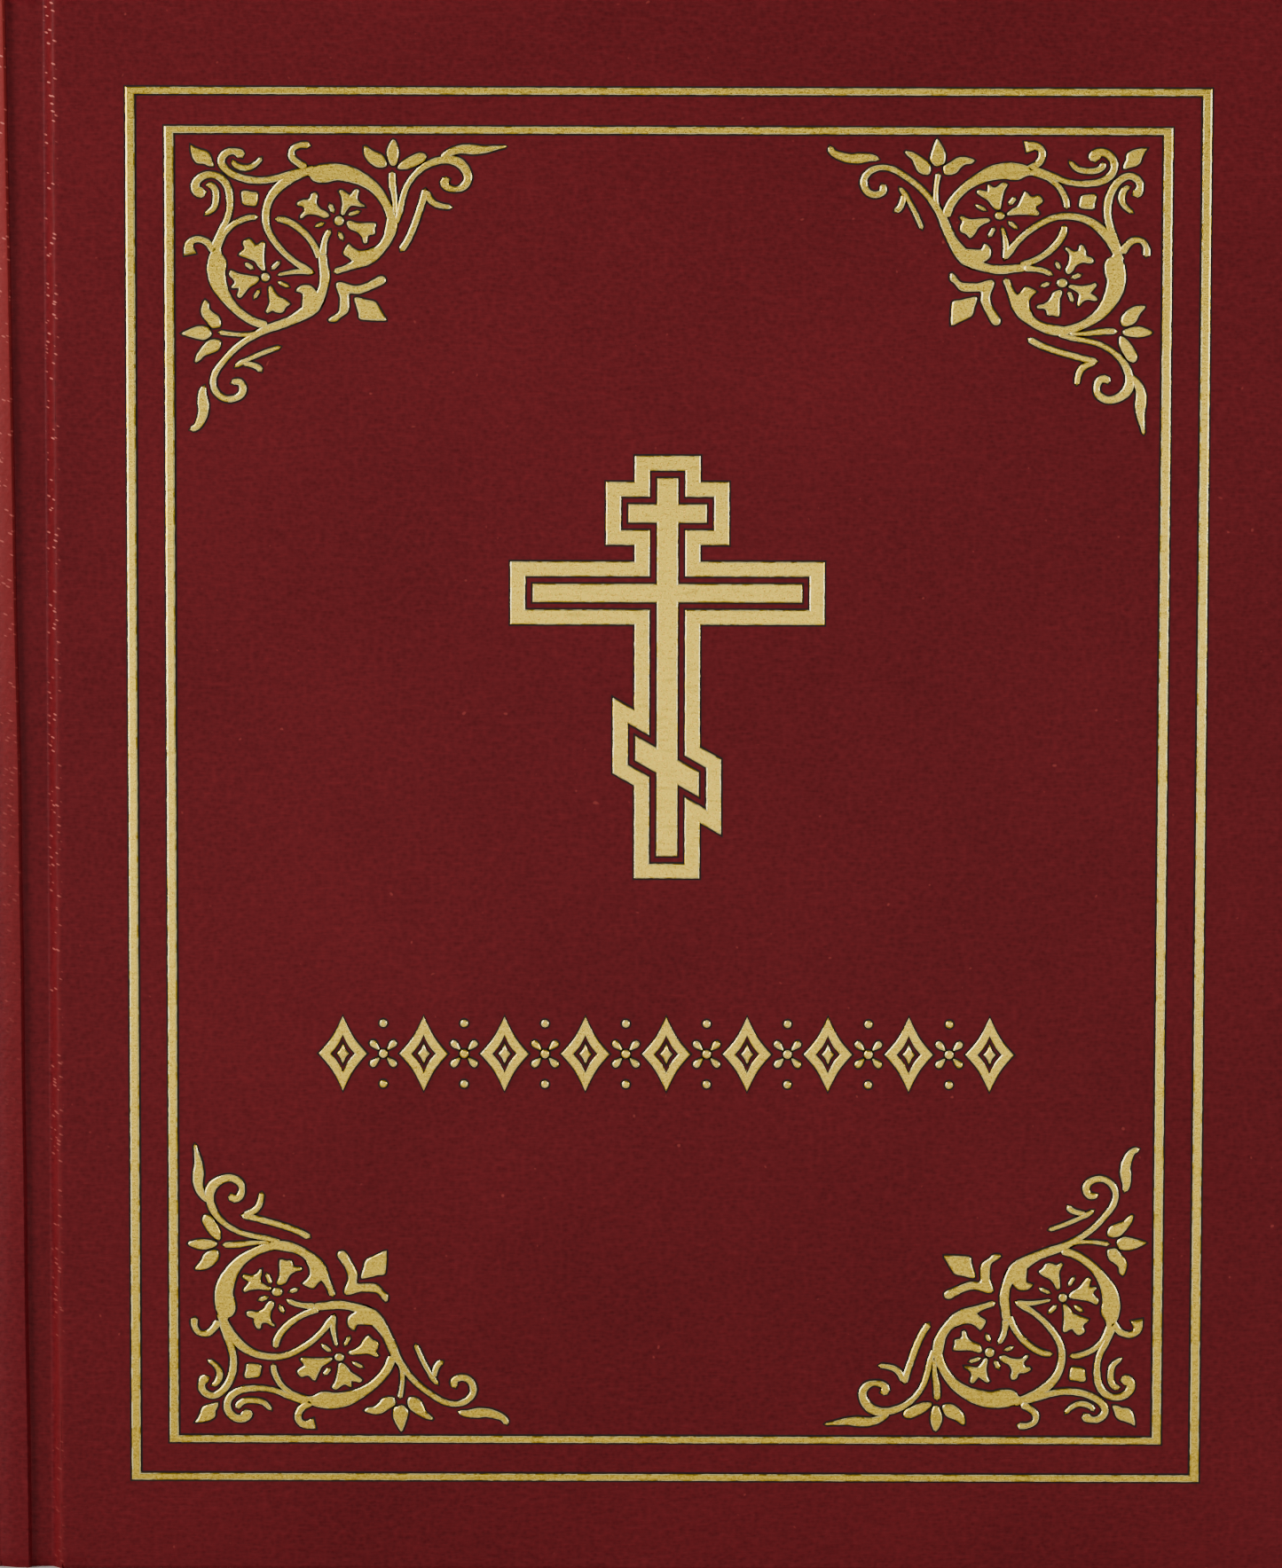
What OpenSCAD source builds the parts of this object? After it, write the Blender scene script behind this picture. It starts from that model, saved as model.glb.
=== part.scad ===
// Prayer book: a sewn book block in a rounded-spine case with stamped foil on its front cover.
// The book stands on its tail edge. Height is Z, the spine is at -X, the front cover faces -Y.
// The origin is the middle of the foot of the whole book.

/* [Case] */
// Height of the case
cover_h = 222; // [170:1:280]
// Width of one covered board, from hinge edge to fore-edge
cover_w = 174.3; // [135:0.1:220]
// Thickness of a board
board_t = 2.5; // [1.8:0.1:4]
// Thickness of the cover leatherette
leather_t = 0.5; // [0.3:0.05:0.8]
// Width of the joint, from the block's shoulder to the board's hinge edge
joint_w = 6.5; // [6:0.1:10]
// How far the leatherette is turned in over the board's inner face
turn_in = 15; // [10:1:22]
// Thickness of the card inlay of the spine
inlay_t = 0.8; // [0.5:0.1:1.5]
// Hollow between the spine of the block and the inlay
spine_hollow = 1; // [0.8:0.1:1.4]
// Outer radius of the spine's shoulders
shoulder_r = 1.6; // [1.2:0.1:2]
// Overhang of the case past the block at head and tail
square_end = 3; // [2.5:0.1:5]
// Overhang of the case past the block at the fore-edge
square_fore = 3.5; // [2:0.1:6]

/* [Book block] */
// Number of folded signatures
sig_count = 14; // [12:1:18]
// Thickness of one signature
sig_t = 1.75; // [1.4:0.05:2.1]
// Signatures at the front whose leaves turn
turning = 6; // [6:1:6]
// Rise of the rounded spine
spine_rise = 3; // [2:0.1:4]
// Thickness of the endpapers
endpaper_t = 0.2; // [0.12:0.01:0.3]
// Air between the flyleaf and the sheets on its two sides
page_gap = 0.05; // [0.02:0.01:0.15]
// Thickness of the glue on the spine, which the links of the thread lie in
glue_t = 0.4; // [0.3:0.05:0.6]
// Thickness of the mull and of the bands' skirts
mull_t = 0.2; // [0.1:0.05:0.3]
// How far the mull reaches onto a board
mull_reach = 25; // [15:1:40]
// How far the mull stops short of the block's head and tail
mull_short = 16; // [14:1:24]
// Thickness of the spine lining paper
lining_t = 0.4; // [0.2:0.05:0.5]
// Diameter of the bead of a headband
band_d = 2; // [1.4:0.1:2.4]
// Length of a headband's skirt down the spine
band_skirt = 8; // [5:1:12]

/* [Sewing] */
// Width of the thread
thread_w = 0.6; // [0.4:0.1:0.8]
// Depth of a stitch inside its fold
stitch_depth = 1.6; // [1.2:0.1:2]
// Number of stitches in each fold
stitches = 3; // [2:1:4]
// Length of one stitch
stitch_len = 36; // [20:1:40]

/* [Hinges] */
// Distance of the hinge axes from the block's shoulder
hinge_at = 3.25; // [3:0.05:4]
// Distance from the hinge axis to the edge of the leaves that turn
leaf_start = 1; // [0.8:0.1:1.5]
// Clearance between a sewn fold and the leaves that turn
fold_gap = 0.2; // [0.1:0.05:0.4]

/* [Foil rules] */
// Thickness of the foil relief
foil_t = 0.25; // [0.1:0.05:0.4]
// Distance of the outer rule from the board's hinge edge
rule_from_hinge = 10; // [8:0.5:14]
// Distance of the outer rule from the board's fore-edge
rule_from_fore = 13; // [8:0.5:16]
// Distance of the outer rule from head and tail
rule_from_end = 12.9; // [8:0.1:18]
// Width of the upright rules
rule_side = 1.35; // [0.8:0.05:2]
// Width of the level rules
rule_end = 1.05; // [0.8:0.05:2]
// Step from the outer rule to the inner rule
rule_step = 5.4; // [4:0.1:7]

/* [Foil cross] */
// Distance from the top of the outer rule to the top of the cross
cross_drop = 54.2; // [50:0.1:60]
// Height of the cross
cross_h = 53.1; // [48:0.1:60]
// Width of the shaft
shaft_w = 2.96; // [2:0.01:4]
// Height of the two level arms
arm_h = 2.6; // [2:0.1:3.5]
// Length of the upper arm
upper_arm = 11; // [9:0.1:14]
// Distance from the cross's top to the upper arm
upper_drop = 3.65; // [3:0.05:5]
// Length of the main arm
main_arm = 37.8; // [30:0.1:44]
// Distance from the cross's top to the main arm
main_drop = 14.8; // [13:0.1:17]
// Length of the slanted foot bar
foot_arm = 9; // [7:0.1:11]
// Height of the foot bar
foot_h = 3.5; // [3:0.1:4.5]
// Distance from the cross's top to the middle of the foot bar
foot_drop = 40.4; // [38:0.1:43]
// Fall of the foot bar from its left end to its right end
foot_fall = 5.1; // [3:0.1:7]
// Gap between the cross and its outline
outline_gap = 1.02; // [0.6:0.02:1.4]
// Width of the outline
outline_w = 2.1; // [1.4:0.1:2.6]

/* [Foil title band] */
// Distance from the top of the outer rule to the middle of the band
title_drop = 135.3; // [130:0.1:150]
// Number of lozenges in the band
title_count = 9; // [5:2:11]
// Step between two lozenges
title_step = 11.4; // [10:0.1:13]
// Height of a lozenge
title_h = 10.6; // [8:0.1:13]
// Width of a lozenge
title_w = 6.4; // [5:0.1:8]
// Width of the strokes
title_stroke = 1.5; // [1:0.1:1.7]
// Diameter of the beads
title_bead = 2; // [1.2:0.1:2.6]

/* [Foil corners] */
// Radius of the two vine rings
vine_r = 8; // [7:0.1:8.4]
// Width of a vine
vine_w = 1.1; // [0.6:0.1:1.5]
// Length of a petal
petal_l = 4; // [3:0.1:4.6]
// Width of a petal at its flared end
petal_w = 3; // [2:0.1:3.4]
// Diameter of a flower's centre
flower_d = 1.3; // [0.8:0.1:1.8]
// Width of the leaves
leaf_w = 2; // [1.2:0.1:2.6]

/* [Hidden] */
$fn = 64;

function two_digit(i) = i < 10 ? str("0", i) : str(i);
function sig_name(i) = str("signature_", two_digit(i));
function fold_name(i) = str(sig_name(i), "_fold");
function leaves_name(i) = str(sig_name(i), "_leaves");

// Distances from the middle plane of the book, outwards
half_block = sig_count * sig_t / 2;
fly_in = half_block + page_gap;
fly_out = fly_in + endpaper_t;
paste_in = fly_out + page_gap;
paste_out = paste_in + endpaper_t;
board_out = paste_out + board_t;
cover_out = board_out + leather_t;
groove_in = paste_out + mull_t;
groove_out = groove_in + leather_t;

// Places along the width, from the block's shoulder
cover_x0 = joint_w;
cover_x1 = joint_w + cover_w;
leaf_x0 = hinge_at + leaf_start;
fold_x1 = leaf_x0 - fold_gap;
fore_x = cover_x1 - square_fore;

// Places along the height
block_z0 = square_end;
block_z1 = cover_h - square_end;
mull_z0 = block_z0 + mull_short;
mull_z1 = block_z1 - mull_short;

// The rounded spine: circles about one centre
spine_r = (half_block * half_block + spine_rise * spine_rise) / (2 * spine_rise);
spine_cx = spine_r - spine_rise;
block_a = asin(half_block / spine_r);
mull_r = spine_r + glue_t;
lining_r = mull_r + mull_t;
hollow_r = lining_r + lining_t;
inlay_r = hollow_r + spine_hollow;
skin_r = inlay_r + inlay_t;
case_r = skin_r + leather_t;
// The shoulders end level with the outer face of the boards
shoulder_d = board_out - shoulder_r;
case_a = asin(shoulder_d / (case_r - shoulder_r));
shoulder_x = spine_cx - (case_r - shoulder_r) * cos(case_a);
// The shoulder turns on past its crest by this much before it runs down into the groove
shoulder_turn = 60;
function spine_x(y) = spine_cx - sqrt(spine_r * spine_r - y * y);

// Width of a leaf: the outermost signature reaches the fore-edge square
leaf_len = fore_x - spine_x(half_block - sig_t / 2);

// The whole book is centred over its foot
book_x = -(spine_cx - case_r + cover_x1) / 2;
book_y = foil_t / 2;

// The outer rule, seen from the front: left, right, head and tail
rule_x0 = cover_x0 + rule_from_hinge;
rule_x1 = cover_x1 - rule_from_fore;
rule_z0 = rule_from_end;
rule_z1 = cover_h - rule_from_end;
middle_x = (rule_x0 + rule_x1) / 2;

leather_c = [0.38, 0.11, 0.12];
gold_c = [0.8, 0.7, 0.45];
board_c = [0.55, 0.52, 0.48];
paper_c = [0.94, 0.91, 0.83];
endpaper_c = [0.93, 0.9, 0.84];
cloth_c = [0.9, 0.89, 0.85];
glue_c = [0.85, 0.8, 0.65];
thread_c = [0.97, 0.96, 0.93];
band_c = [0.75, 0.15, 0.14];
card_c = [0.62, 0.55, 0.44];

// ---- shared shapes ----

// Moves a piece from the block's own places to the place of the whole book
module in_book() translate([book_x, book_y, 0]) children();

// The same piece on the back of the book
module on_back() mirror([0, 1, 0]) children();

module slab(x0, x1, y0, y1, z0, z1)
    translate([x0, y0, z0]) cube([x1 - x0, y1 - y0, z1 - z0]);

module prism(points, z0, z1)
    translate([0, 0, z0]) linear_extrude(z1 - z0) polygon(points);

// Points on an arc about (cx, cy), from angle a0 to a1
function arc(cx, cy, r, a0, a1, n = 8) =
    [for (i = [0:n]) let (a = a0 + (a1 - a0) * i / n) [cx + r * cos(a), cy + r * sin(a)]];

function reversed(list) = [for (i = [len(list) - 1:-1:0]) list[i]];

// A profile of [radius, height] points turned about the spine's centre line, half_a to both sides
module spine_turned(profile, half_a)
    translate([spine_cx, 0, 0]) rotate([0, 0, 180 - half_a])
        rotate_extrude(angle = 2 * half_a) polygon(profile);

module spine_layer(r0, r1, z0, z1)
    spine_turned([[r0, z0], [r1, z0], [r1, z1], [r0, z1]], block_a);

// ---- case ----

// A board with shallow rebates for the turn-ins and the mull, so that its lining lies flat
module board() color(board_c) difference() {
    slab(cover_x0, cover_x1 - leather_t, -board_out, -paste_out, leather_t, cover_h - leather_t);
    turn_ins(1);
    slab(cover_x0 - 1, cover_x0 + mull_reach, -groove_in, -paste_out + 1, mull_z0, mull_z1);
}

// The turned-in margins of the leatherette at head, tail and fore-edge; over makes them longer for a cut
module turn_ins(over) {
    slab(cover_x0 - over, cover_x1, -paste_out - leather_t, -paste_out + over, 0, turn_in);
    slab(cover_x0 - over, cover_x1, -paste_out - leather_t, -paste_out + over, cover_h - turn_in, cover_h);
    slab(cover_x1 - turn_in, cover_x1, -paste_out - leather_t, -paste_out + over, 0, cover_h);
}

module leather() color(leather_c) difference() {
    slab(cover_x0, cover_x1, -cover_out, -paste_out, 0, cover_h);
    slab(cover_x0 - 1, cover_x1 - leather_t, -board_out, -paste_out - leather_t, leather_t, cover_h - leather_t);
    slab(cover_x0 - 1, cover_x1 - turn_in, -paste_out - 2 * leather_t, -paste_out + 1, turn_in,
         cover_h - turn_in);
}

module front_board() in_book() board();
module back_board() in_book() on_back() board();
module front_leather() in_book() leather();
module back_leather() in_book() on_back() leather();

module spine_inlay() color(card_c) in_book()
    spine_turned([[inlay_r, leather_t], [skin_r, leather_t],
                  [skin_r, cover_h - leather_t], [inlay_r, cover_h - leather_t]], case_a);

module spine_leather() color(leather_c) in_book()
    spine_turned([[inlay_r - leather_t, 0], [case_r, 0], [case_r, cover_h], [inlay_r - leather_t, cover_h],
                  [inlay_r - leather_t, cover_h - turn_in], [inlay_r, cover_h - turn_in],
                  [inlay_r, cover_h - leather_t], [skin_r, cover_h - leather_t],
                  [skin_r, leather_t], [inlay_r, leather_t], [inlay_r, turn_in],
                  [inlay_r - leather_t, turn_in]], case_a);

// From the edge of the inlay: over the shoulder's crest, a fillet down to the groove's floor, the floor,
// and an S-bend up to the board's face
crest_end = 270 + shoulder_turn;
groove_top = [shoulder_x + shoulder_r * cos(crest_end), -shoulder_d + shoulder_r * sin(crest_end)];
fillet_r = (-groove_out - groove_top[1]) / (1 - cos(shoulder_turn));
fillet_x = groove_top[0] + fillet_r * sin(shoulder_turn);
rise_turn = 75;
rise_r = (cover_out - groove_out) / 2 / (1 - cos(rise_turn));
rise_x = cover_x0 - 2 * rise_r * sin(rise_turn);

// side is 0 for the outer face of the leatherette and 1 for its inner face
function joint_line(side) = let (t = side * leather_t) concat(
    arc(shoulder_x, -shoulder_d, shoulder_r - t, 180 + case_a, crest_end, 12),
    arc(fillet_x, -groove_out - fillet_r, fillet_r + t, 90 + shoulder_turn - 6, 90),
    arc(rise_x, -groove_out - rise_r, rise_r + t, 90, 90 - rise_turn),
    arc(cover_x0, -cover_out + rise_r, rise_r - t, 270 - rise_turn + 6, 270));

module joint_leather() color(leather_c)
    prism(concat(joint_line(0), reversed(joint_line(1))), 0, cover_h);

module front_joint_leather() in_book() joint_leather();
module back_joint_leather() in_book() on_back() joint_leather();

// ---- endpapers and mull ----

module pastedown() color(endpaper_c)
    slab(cover_x0, fore_x, -paste_out, -paste_in, block_z0, block_z1);

module flyleaf() color(endpaper_c)
    slab(leaf_x0, fore_x, -fly_out, -fly_in, block_z0, block_z1);

// The endpaper's fold: glued along the first signature's fold, then back across the joint
module endpaper_fold() color(endpaper_c)
    prism([[0, -fly_in], [0, -paste_out], [cover_x0, -paste_out], [cover_x0, -paste_in],
           [endpaper_t, -paste_in], [endpaper_t, -fly_out], [fold_x1, -fly_out], [fold_x1, -fly_in]],
          block_z0, block_z1);

module mull_flange() color(cloth_c)
    slab(cover_x0, cover_x0 + mull_reach, -groove_in, -paste_out, mull_z0, mull_z1);

// The mull's way from the spine round the block's shoulder to the board
function spine_point(r) = [spine_cx - r * cos(block_a), -r * sin(block_a)];
module mull_joint() color(cloth_c)
    prism([spine_point(mull_r), spine_point(lining_r), [spine_point(lining_r)[0] / 2, -groove_in],
           [cover_x0, -groove_in], [cover_x0, -paste_out], [0, -paste_out]], mull_z0, mull_z1);

module front_pastedown() in_book() pastedown();
module back_pastedown() in_book() on_back() pastedown();
module front_flyleaf() in_book() flyleaf();
module back_flyleaf() in_book() on_back() flyleaf();
module front_endpaper_fold() in_book() endpaper_fold();
module back_endpaper_fold() in_book() on_back() endpaper_fold();
module front_mull_flange() in_book() mull_flange();
module back_mull_flange() in_book() on_back() mull_flange();
module front_mull_joint() in_book() mull_joint();
module back_mull_joint() in_book() on_back() mull_joint();

module spine_mull() color(cloth_c) in_book() spine_layer(mull_r, lining_r, mull_z0, mull_z1);
module spine_lining() color(card_c) in_book() spine_layer(lining_r, hollow_r, block_z0, block_z1);

// ---- sewing and glue ----

// Each stitch lies in the middle of its fold and comes out through the spine at its two ends
stitch_step = (block_z1 - block_z0) / stitches;
function stitch_z0(k) = block_z0 + stitch_step * (k + 0.5) - stitch_len / 2;
stations = [for (k = [0:stitches - 1]) for (z = [stitch_z0(k), stitch_z0(k) + stitch_len - thread_w]) z];

// The staple-shaped stitch of signature i, as an outline of [x, z] points drawn out along y
module stitch(i, k) {
    y = sig_y(i) + sig_t / 2;
    x0 = spine_x(sig_y(i));
    x1 = spine_x(sig_y(i + 1));
    z0 = stitch_z0(k);
    z1 = z0 + stitch_len;
    intersection() {
        translate([0, y + thread_w / 2, 0]) rotate([90, 0, 0]) linear_extrude(thread_w)
            polygon([[min(x0, x1) - 1, z0], [min(x0, x1) + stitch_depth, z0],
                     [min(x0, x1) + stitch_depth, z1], [min(x0, x1) - 1, z1],
                     [min(x0, x1) - 1, z1 - thread_w], [min(x0, x1) + stitch_depth - thread_w, z1 - thread_w],
                     [min(x0, x1) + stitch_depth - thread_w, z0 + thread_w], [min(x0, x1) - 1, z0 + thread_w]]);
        signature_prism(i, fold_x1);
    }
}

module sewing_thread() color(thread_c) in_book() {
    for (z = stations) spine_layer(spine_r, mull_r, z, z + thread_w);
    for (i = [1:sig_count]) for (k = [0:stitches - 1]) stitch(i, k);
}

// The glue fills the spine between the links of the thread
glue_z0 = concat([block_z0], [for (z = stations) z + thread_w]);
glue_z1 = concat(stations, [block_z1]);
module spine_glue() color(glue_c) in_book()
    for (i = [0:len(glue_z0) - 1]) spine_layer(spine_r, mull_r, glue_z0[i], glue_z1[i]);

// A band's profile at the block's head: a round bead on the block and a skirt down the spine
bead_r = spine_r - band_d / 2 + glue_t + mull_t;
module head_and_tail_band(z, up) color(band_c)
    spine_turned([for (p = concat(arc(0, band_d / 2, band_d / 2, 0, 180, 10),
                                  arc(0, band_d / 2, band_d / 2, 180, 270, 5),
                                  [[band_d / 2 - mull_t, 0], [band_d / 2 - mull_t, -band_skirt],
                                   [band_d / 2, -band_skirt]]))
                      [bead_r + p[0], z + up * p[1]]], block_a);

module headband() in_book() head_and_tail_band(block_z1, 1);
module tailband() in_book() head_and_tail_band(block_z0, -1);

// ---- signatures, numbered from the front ----

function sig_y(i) = -half_block + (i - 1) * sig_t;

// The part of signature i from the spine to x_end
module signature_prism(i, x_end)
    prism([[spine_x(sig_y(i)), sig_y(i)], [x_end, sig_y(i)],
           [x_end, sig_y(i + 1)], [spine_x(sig_y(i + 1)), sig_y(i + 1)]], block_z0, block_z1);

// Every leaf is as wide as the others, so the fore-edge repeats the spine's curve
function sig_fore(i) = spine_x(sig_y(i) + sig_t / 2) + leaf_len;

module sewn(i, x_end) color(paper_c) in_book() difference() {
    signature_prism(i, x_end);
    for (k = [0:stitches - 1]) stitch(i, k);
}

module signature_fold(i) sewn(i, fold_x1);
module signature_leaves(i) color(paper_c) in_book()
    slab(leaf_x0, sig_fore(i), sig_y(i), sig_y(i + 1), block_z0, block_z1);
module whole_signature(i) sewn(i, sig_fore(i));

// ---- foil on the front cover, drawn as seen from the front: X to the right, Y up ----

module stamped(c = gold_c) color(c) in_book()
    translate([0, -cover_out, 0]) rotate([90, 0, 0]) linear_extrude(foil_t) children();

module rule(inset) stamped() difference() {
    translate([rule_x0 + inset, rule_z0 + inset])
        square([rule_x1 - rule_x0 - 2 * inset, rule_z1 - rule_z0 - 2 * inset]);
    translate([rule_x0 + inset + rule_side, rule_z0 + inset + rule_end])
        square([rule_x1 - rule_x0 - 2 * inset - 2 * rule_side, rule_z1 - rule_z0 - 2 * inset - 2 * rule_end]);
}
module foil_outer_rule() rule(0);
module foil_inner_rule() rule(rule_step);

// Half of the cross's outline on the right, from the top down, about the top of its shaft
foot_slope = foot_fall / foot_arm;
function foot_y(x, side) = -foot_drop - foot_slope * x + side * foot_h / 2;
function cross_side(s) = [
    [s * shaft_w / 2, 0],
    [s * shaft_w / 2, -upper_drop], [s * upper_arm / 2, -upper_drop],
    [s * upper_arm / 2, -upper_drop - arm_h], [s * shaft_w / 2, -upper_drop - arm_h],
    [s * shaft_w / 2, -main_drop], [s * main_arm / 2, -main_drop],
    [s * main_arm / 2, -main_drop - arm_h], [s * shaft_w / 2, -main_drop - arm_h],
    [s * shaft_w / 2, foot_y(s * shaft_w / 2, 1)], [s * foot_arm / 2, foot_y(s * foot_arm / 2, 1)],
    [s * foot_arm / 2, foot_y(s * foot_arm / 2, -1)], [s * shaft_w / 2, foot_y(s * shaft_w / 2, -1)],
    [s * shaft_w / 2, -cross_h]];
module cross() translate([middle_x, rule_z1 - cross_drop])
    polygon(concat(cross_side(1), reversed(cross_side(-1))));

module foil_cross() stamped() cross();
module foil_cross_outline() stamped() difference() {
    offset(delta = outline_gap + outline_w) cross();
    offset(delta = outline_gap) cross();
}

// The title band: lozenge rings with a bead in each and a bead between two
module lozenge(w, h) polygon([[-w / 2, 0], [0, -h / 2], [w / 2, 0], [0, h / 2]]);
module foil_title_band() stamped() translate([middle_x, rule_z1 - title_drop])
    for (i = [0:title_count - 1]) translate([(i - (title_count - 1) / 2) * title_step, 0]) {
        difference() {
            lozenge(title_w, title_h);
            lozenge(title_w - 2 * title_stroke, title_h - 2 * title_stroke * title_h / title_w);
        }
        if (i < title_count - 1) translate([title_step / 2, 0]) circle(d = title_bead);
    }

// The corner ornament, from the outer rule's corner, x to the right and y down as negative
vine_a = [28.3, -18.3];
vine_b = [19.9, -25.9];

module vine(p, r, a0, a1) translate([p[0], p[1], 0]) rotate([0, 0, a0]) rotate_extrude(angle = a1 - a0)
    translate([r - vine_w / 2, 0]) square([vine_w, foil_t]);

// A leaf from point p to point q
module leaf(p, q, w = leaf_w) linear_extrude(foil_t)
    let (d = q - p, n = [-d[1], d[0]] / norm(d), steps = 8)
        polygon(concat([for (i = [0:steps]) p + d * i / steps + n * w / 2 * sin(180 * i / steps)],
                       [for (i = [steps - 1:-1:1]) p + d * i / steps - n * w / 2 * sin(180 * i / steps)]));

module petal(p, a) translate([p[0], p[1], 0]) rotate([0, 0, a]) linear_extrude(foil_t)
    polygon([[flower_d, 0.25], [flower_d + petal_l * 0.6, petal_w * 0.3], [flower_d + petal_l * 0.85, petal_w / 2],
             [flower_d + petal_l, petal_w * 0.4], [flower_d + petal_l * 0.92, 0], [flower_d + petal_l, -petal_w * 0.4],
             [flower_d + petal_l * 0.85, -petal_w / 2], [flower_d + petal_l * 0.6, -petal_w * 0.3],
             [flower_d, -0.25]]);

module flower(p, angles) {
    translate([p[0], p[1], 0]) cylinder(d = flower_d, h = foil_t);
    for (a = angles) petal(p, a);
}

module corner_motif() {
    // two rings, one passing under the other
    vine(vine_a, vine_r, 0, 360);
    vine(vine_b, vine_r, 96, 342);
    vine(vine_b, vine_r, 12, 72);
    flower(vine_a, [65, 155, 335]);
    flower(vine_b, [115, 205, 295]);
    // the corner's leaf and its two curls
    leaf([9, -8.2], [12.4, -11.2]);
    vine([15.2, -10.9], 1.9, 20, 250);
    vine([10.8, -14.2], 1.9, 20, 250);
    // hooks on the rings' outer sides
    vine([24.8, -9], 1.2, 0, 200);
    vine([9.6, -22.2], 1.2, 20, 220);
    // two buds of three leaves with their stems
    leaf([33, -8.4], [36.2, -10.9]);
    leaf([37.2, -7.4], [37.1, -10.6], 1.7);
    leaf([42, -9.2], [38, -11.2]);
    leaf([37.1, -11.6], [37.6, -16.4], 1.1);
    leaf([11, -29.4], [12.8, -33.2]);
    leaf([7.8, -34.1], [11.8, -34.1], 1.7);
    leaf([9.6, -38], [12.8, -35.2]);
    leaf([12.8, -34], [17.4, -35.2], 1.1);
    // tails with their curls and long leaves
    vine([45.4, -12.6], 3, -170, 100);
    leaf([45.6, -8.6], [53.2, -8.2], 1.2);
    vine([14.8, -41.2], 3, -270, 40);
    leaf([10.8, -41.2], [9.2, -47.8], 1.2);
    // inside, towards the middle of the cover
    leaf([32, -29], [36.2, -32.4], 2.6);
    leaf([29.6, -27.6], [36.4, -26.4], 1.3);
    leaf([29.9, -28.2], [28.6, -32.4], 1.3);
    leaf([42, -14], [38.2, -22.8], 1.2);
    leaf([42.4, -15.4], [45.6, -16.8], 1);
    leaf([21.6, -35.6], [15.2, -39], 1.2);
    leaf([16.6, -39.4], [19.2, -39.8], 1);
}

module foil_corner_ornaments() color(gold_c) in_book()
    translate([0, -cover_out, 0]) rotate([90, 0, 0]) {
        translate([rule_x0, rule_z1, 0]) corner_motif();
        translate([rule_x1, rule_z1, 0]) mirror([1, 0, 0]) corner_motif();
        translate([rule_x1, rule_z0, 0]) rotate([0, 0, 180]) corner_motif();
        translate([rule_x0, rule_z0, 0]) mirror([0, 1, 0]) corner_motif();
    }

front_board();
back_board();
spine_inlay();
front_leather();
back_leather();
spine_leather();
front_joint_leather();
back_joint_leather();
foil_outer_rule();
foil_inner_rule();
foil_corner_ornaments();
foil_cross_outline();
foil_cross();
foil_title_band();
front_pastedown();
front_flyleaf();
front_endpaper_fold();
back_pastedown();
back_flyleaf();
back_endpaper_fold();
spine_mull();
front_mull_flange();
front_mull_joint();
back_mull_flange();
back_mull_joint();
sewing_thread();
spine_glue();
spine_lining();
headband();
tailband();
for (i = [1:turning]) {
    signature_fold(i);
    signature_leaves(i);
}
for (i = [turning + 1:sig_count])
    whole_signature(i);
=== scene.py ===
import math
import bpy
from mathutils import Matrix, Vector, noise


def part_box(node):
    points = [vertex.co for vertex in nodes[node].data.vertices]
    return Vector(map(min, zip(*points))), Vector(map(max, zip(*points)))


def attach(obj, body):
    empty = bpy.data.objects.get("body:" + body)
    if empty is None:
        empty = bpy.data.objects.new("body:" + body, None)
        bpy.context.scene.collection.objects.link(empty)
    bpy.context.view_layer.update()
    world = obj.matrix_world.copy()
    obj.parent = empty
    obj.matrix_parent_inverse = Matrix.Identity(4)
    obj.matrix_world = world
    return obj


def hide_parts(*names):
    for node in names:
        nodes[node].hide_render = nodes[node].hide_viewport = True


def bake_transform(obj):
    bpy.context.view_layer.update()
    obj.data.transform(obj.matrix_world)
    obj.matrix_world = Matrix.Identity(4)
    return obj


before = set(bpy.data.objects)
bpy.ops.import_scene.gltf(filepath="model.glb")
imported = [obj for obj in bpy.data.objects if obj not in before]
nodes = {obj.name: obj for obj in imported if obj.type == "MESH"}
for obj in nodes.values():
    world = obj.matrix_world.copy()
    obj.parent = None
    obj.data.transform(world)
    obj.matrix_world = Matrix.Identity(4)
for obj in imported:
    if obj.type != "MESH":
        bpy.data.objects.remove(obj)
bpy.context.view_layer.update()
mm = 0.001
print("frame loaded:", len(nodes), "nodes")


# places taken from the model
coverLow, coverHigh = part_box("front_leather")
ruleLow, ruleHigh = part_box("foil_outer_rule")
insideLow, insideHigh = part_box("foil_inner_rule")
crossLow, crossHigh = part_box("foil_cross")
coverFace = coverLow.y                  # outer face of the front leather
foilHeight = coverFace - ruleLow.y
bookHeight = coverHigh.z
shoulderX = coverLow.x - 6.5 * mm       # where the pages meet the case's groove
midY = (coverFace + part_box("back_leather")[1].y) / 2


# small helpers

def deselect():
    bpy.ops.object.select_all(action="DESELECT")


def pick(piece):
    deselect()
    piece.select_set(True)
    bpy.context.view_layer.objects.active = piece


def edit(piece, mode="FACE"):
    pick(piece)
    bpy.ops.object.mode_set(mode="EDIT")
    bpy.ops.mesh.select_mode(type=mode)
    bpy.ops.mesh.select_all(action="SELECT")


def leave():
    bpy.ops.object.mode_set(mode="OBJECT")


def named(piece, name):
    piece.name = name
    piece.data.name = name
    return piece


def joined(parts, name):
    deselect()
    for part in parts:
        part.select_set(True)
    bpy.context.view_layer.objects.active = parts[0]
    bpy.ops.object.join()
    return named(bpy.context.object, name)


def smooth(piece, degrees):
    pick(piece)
    bpy.ops.object.shade_smooth_by_angle(angle=math.radians(degrees))


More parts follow.
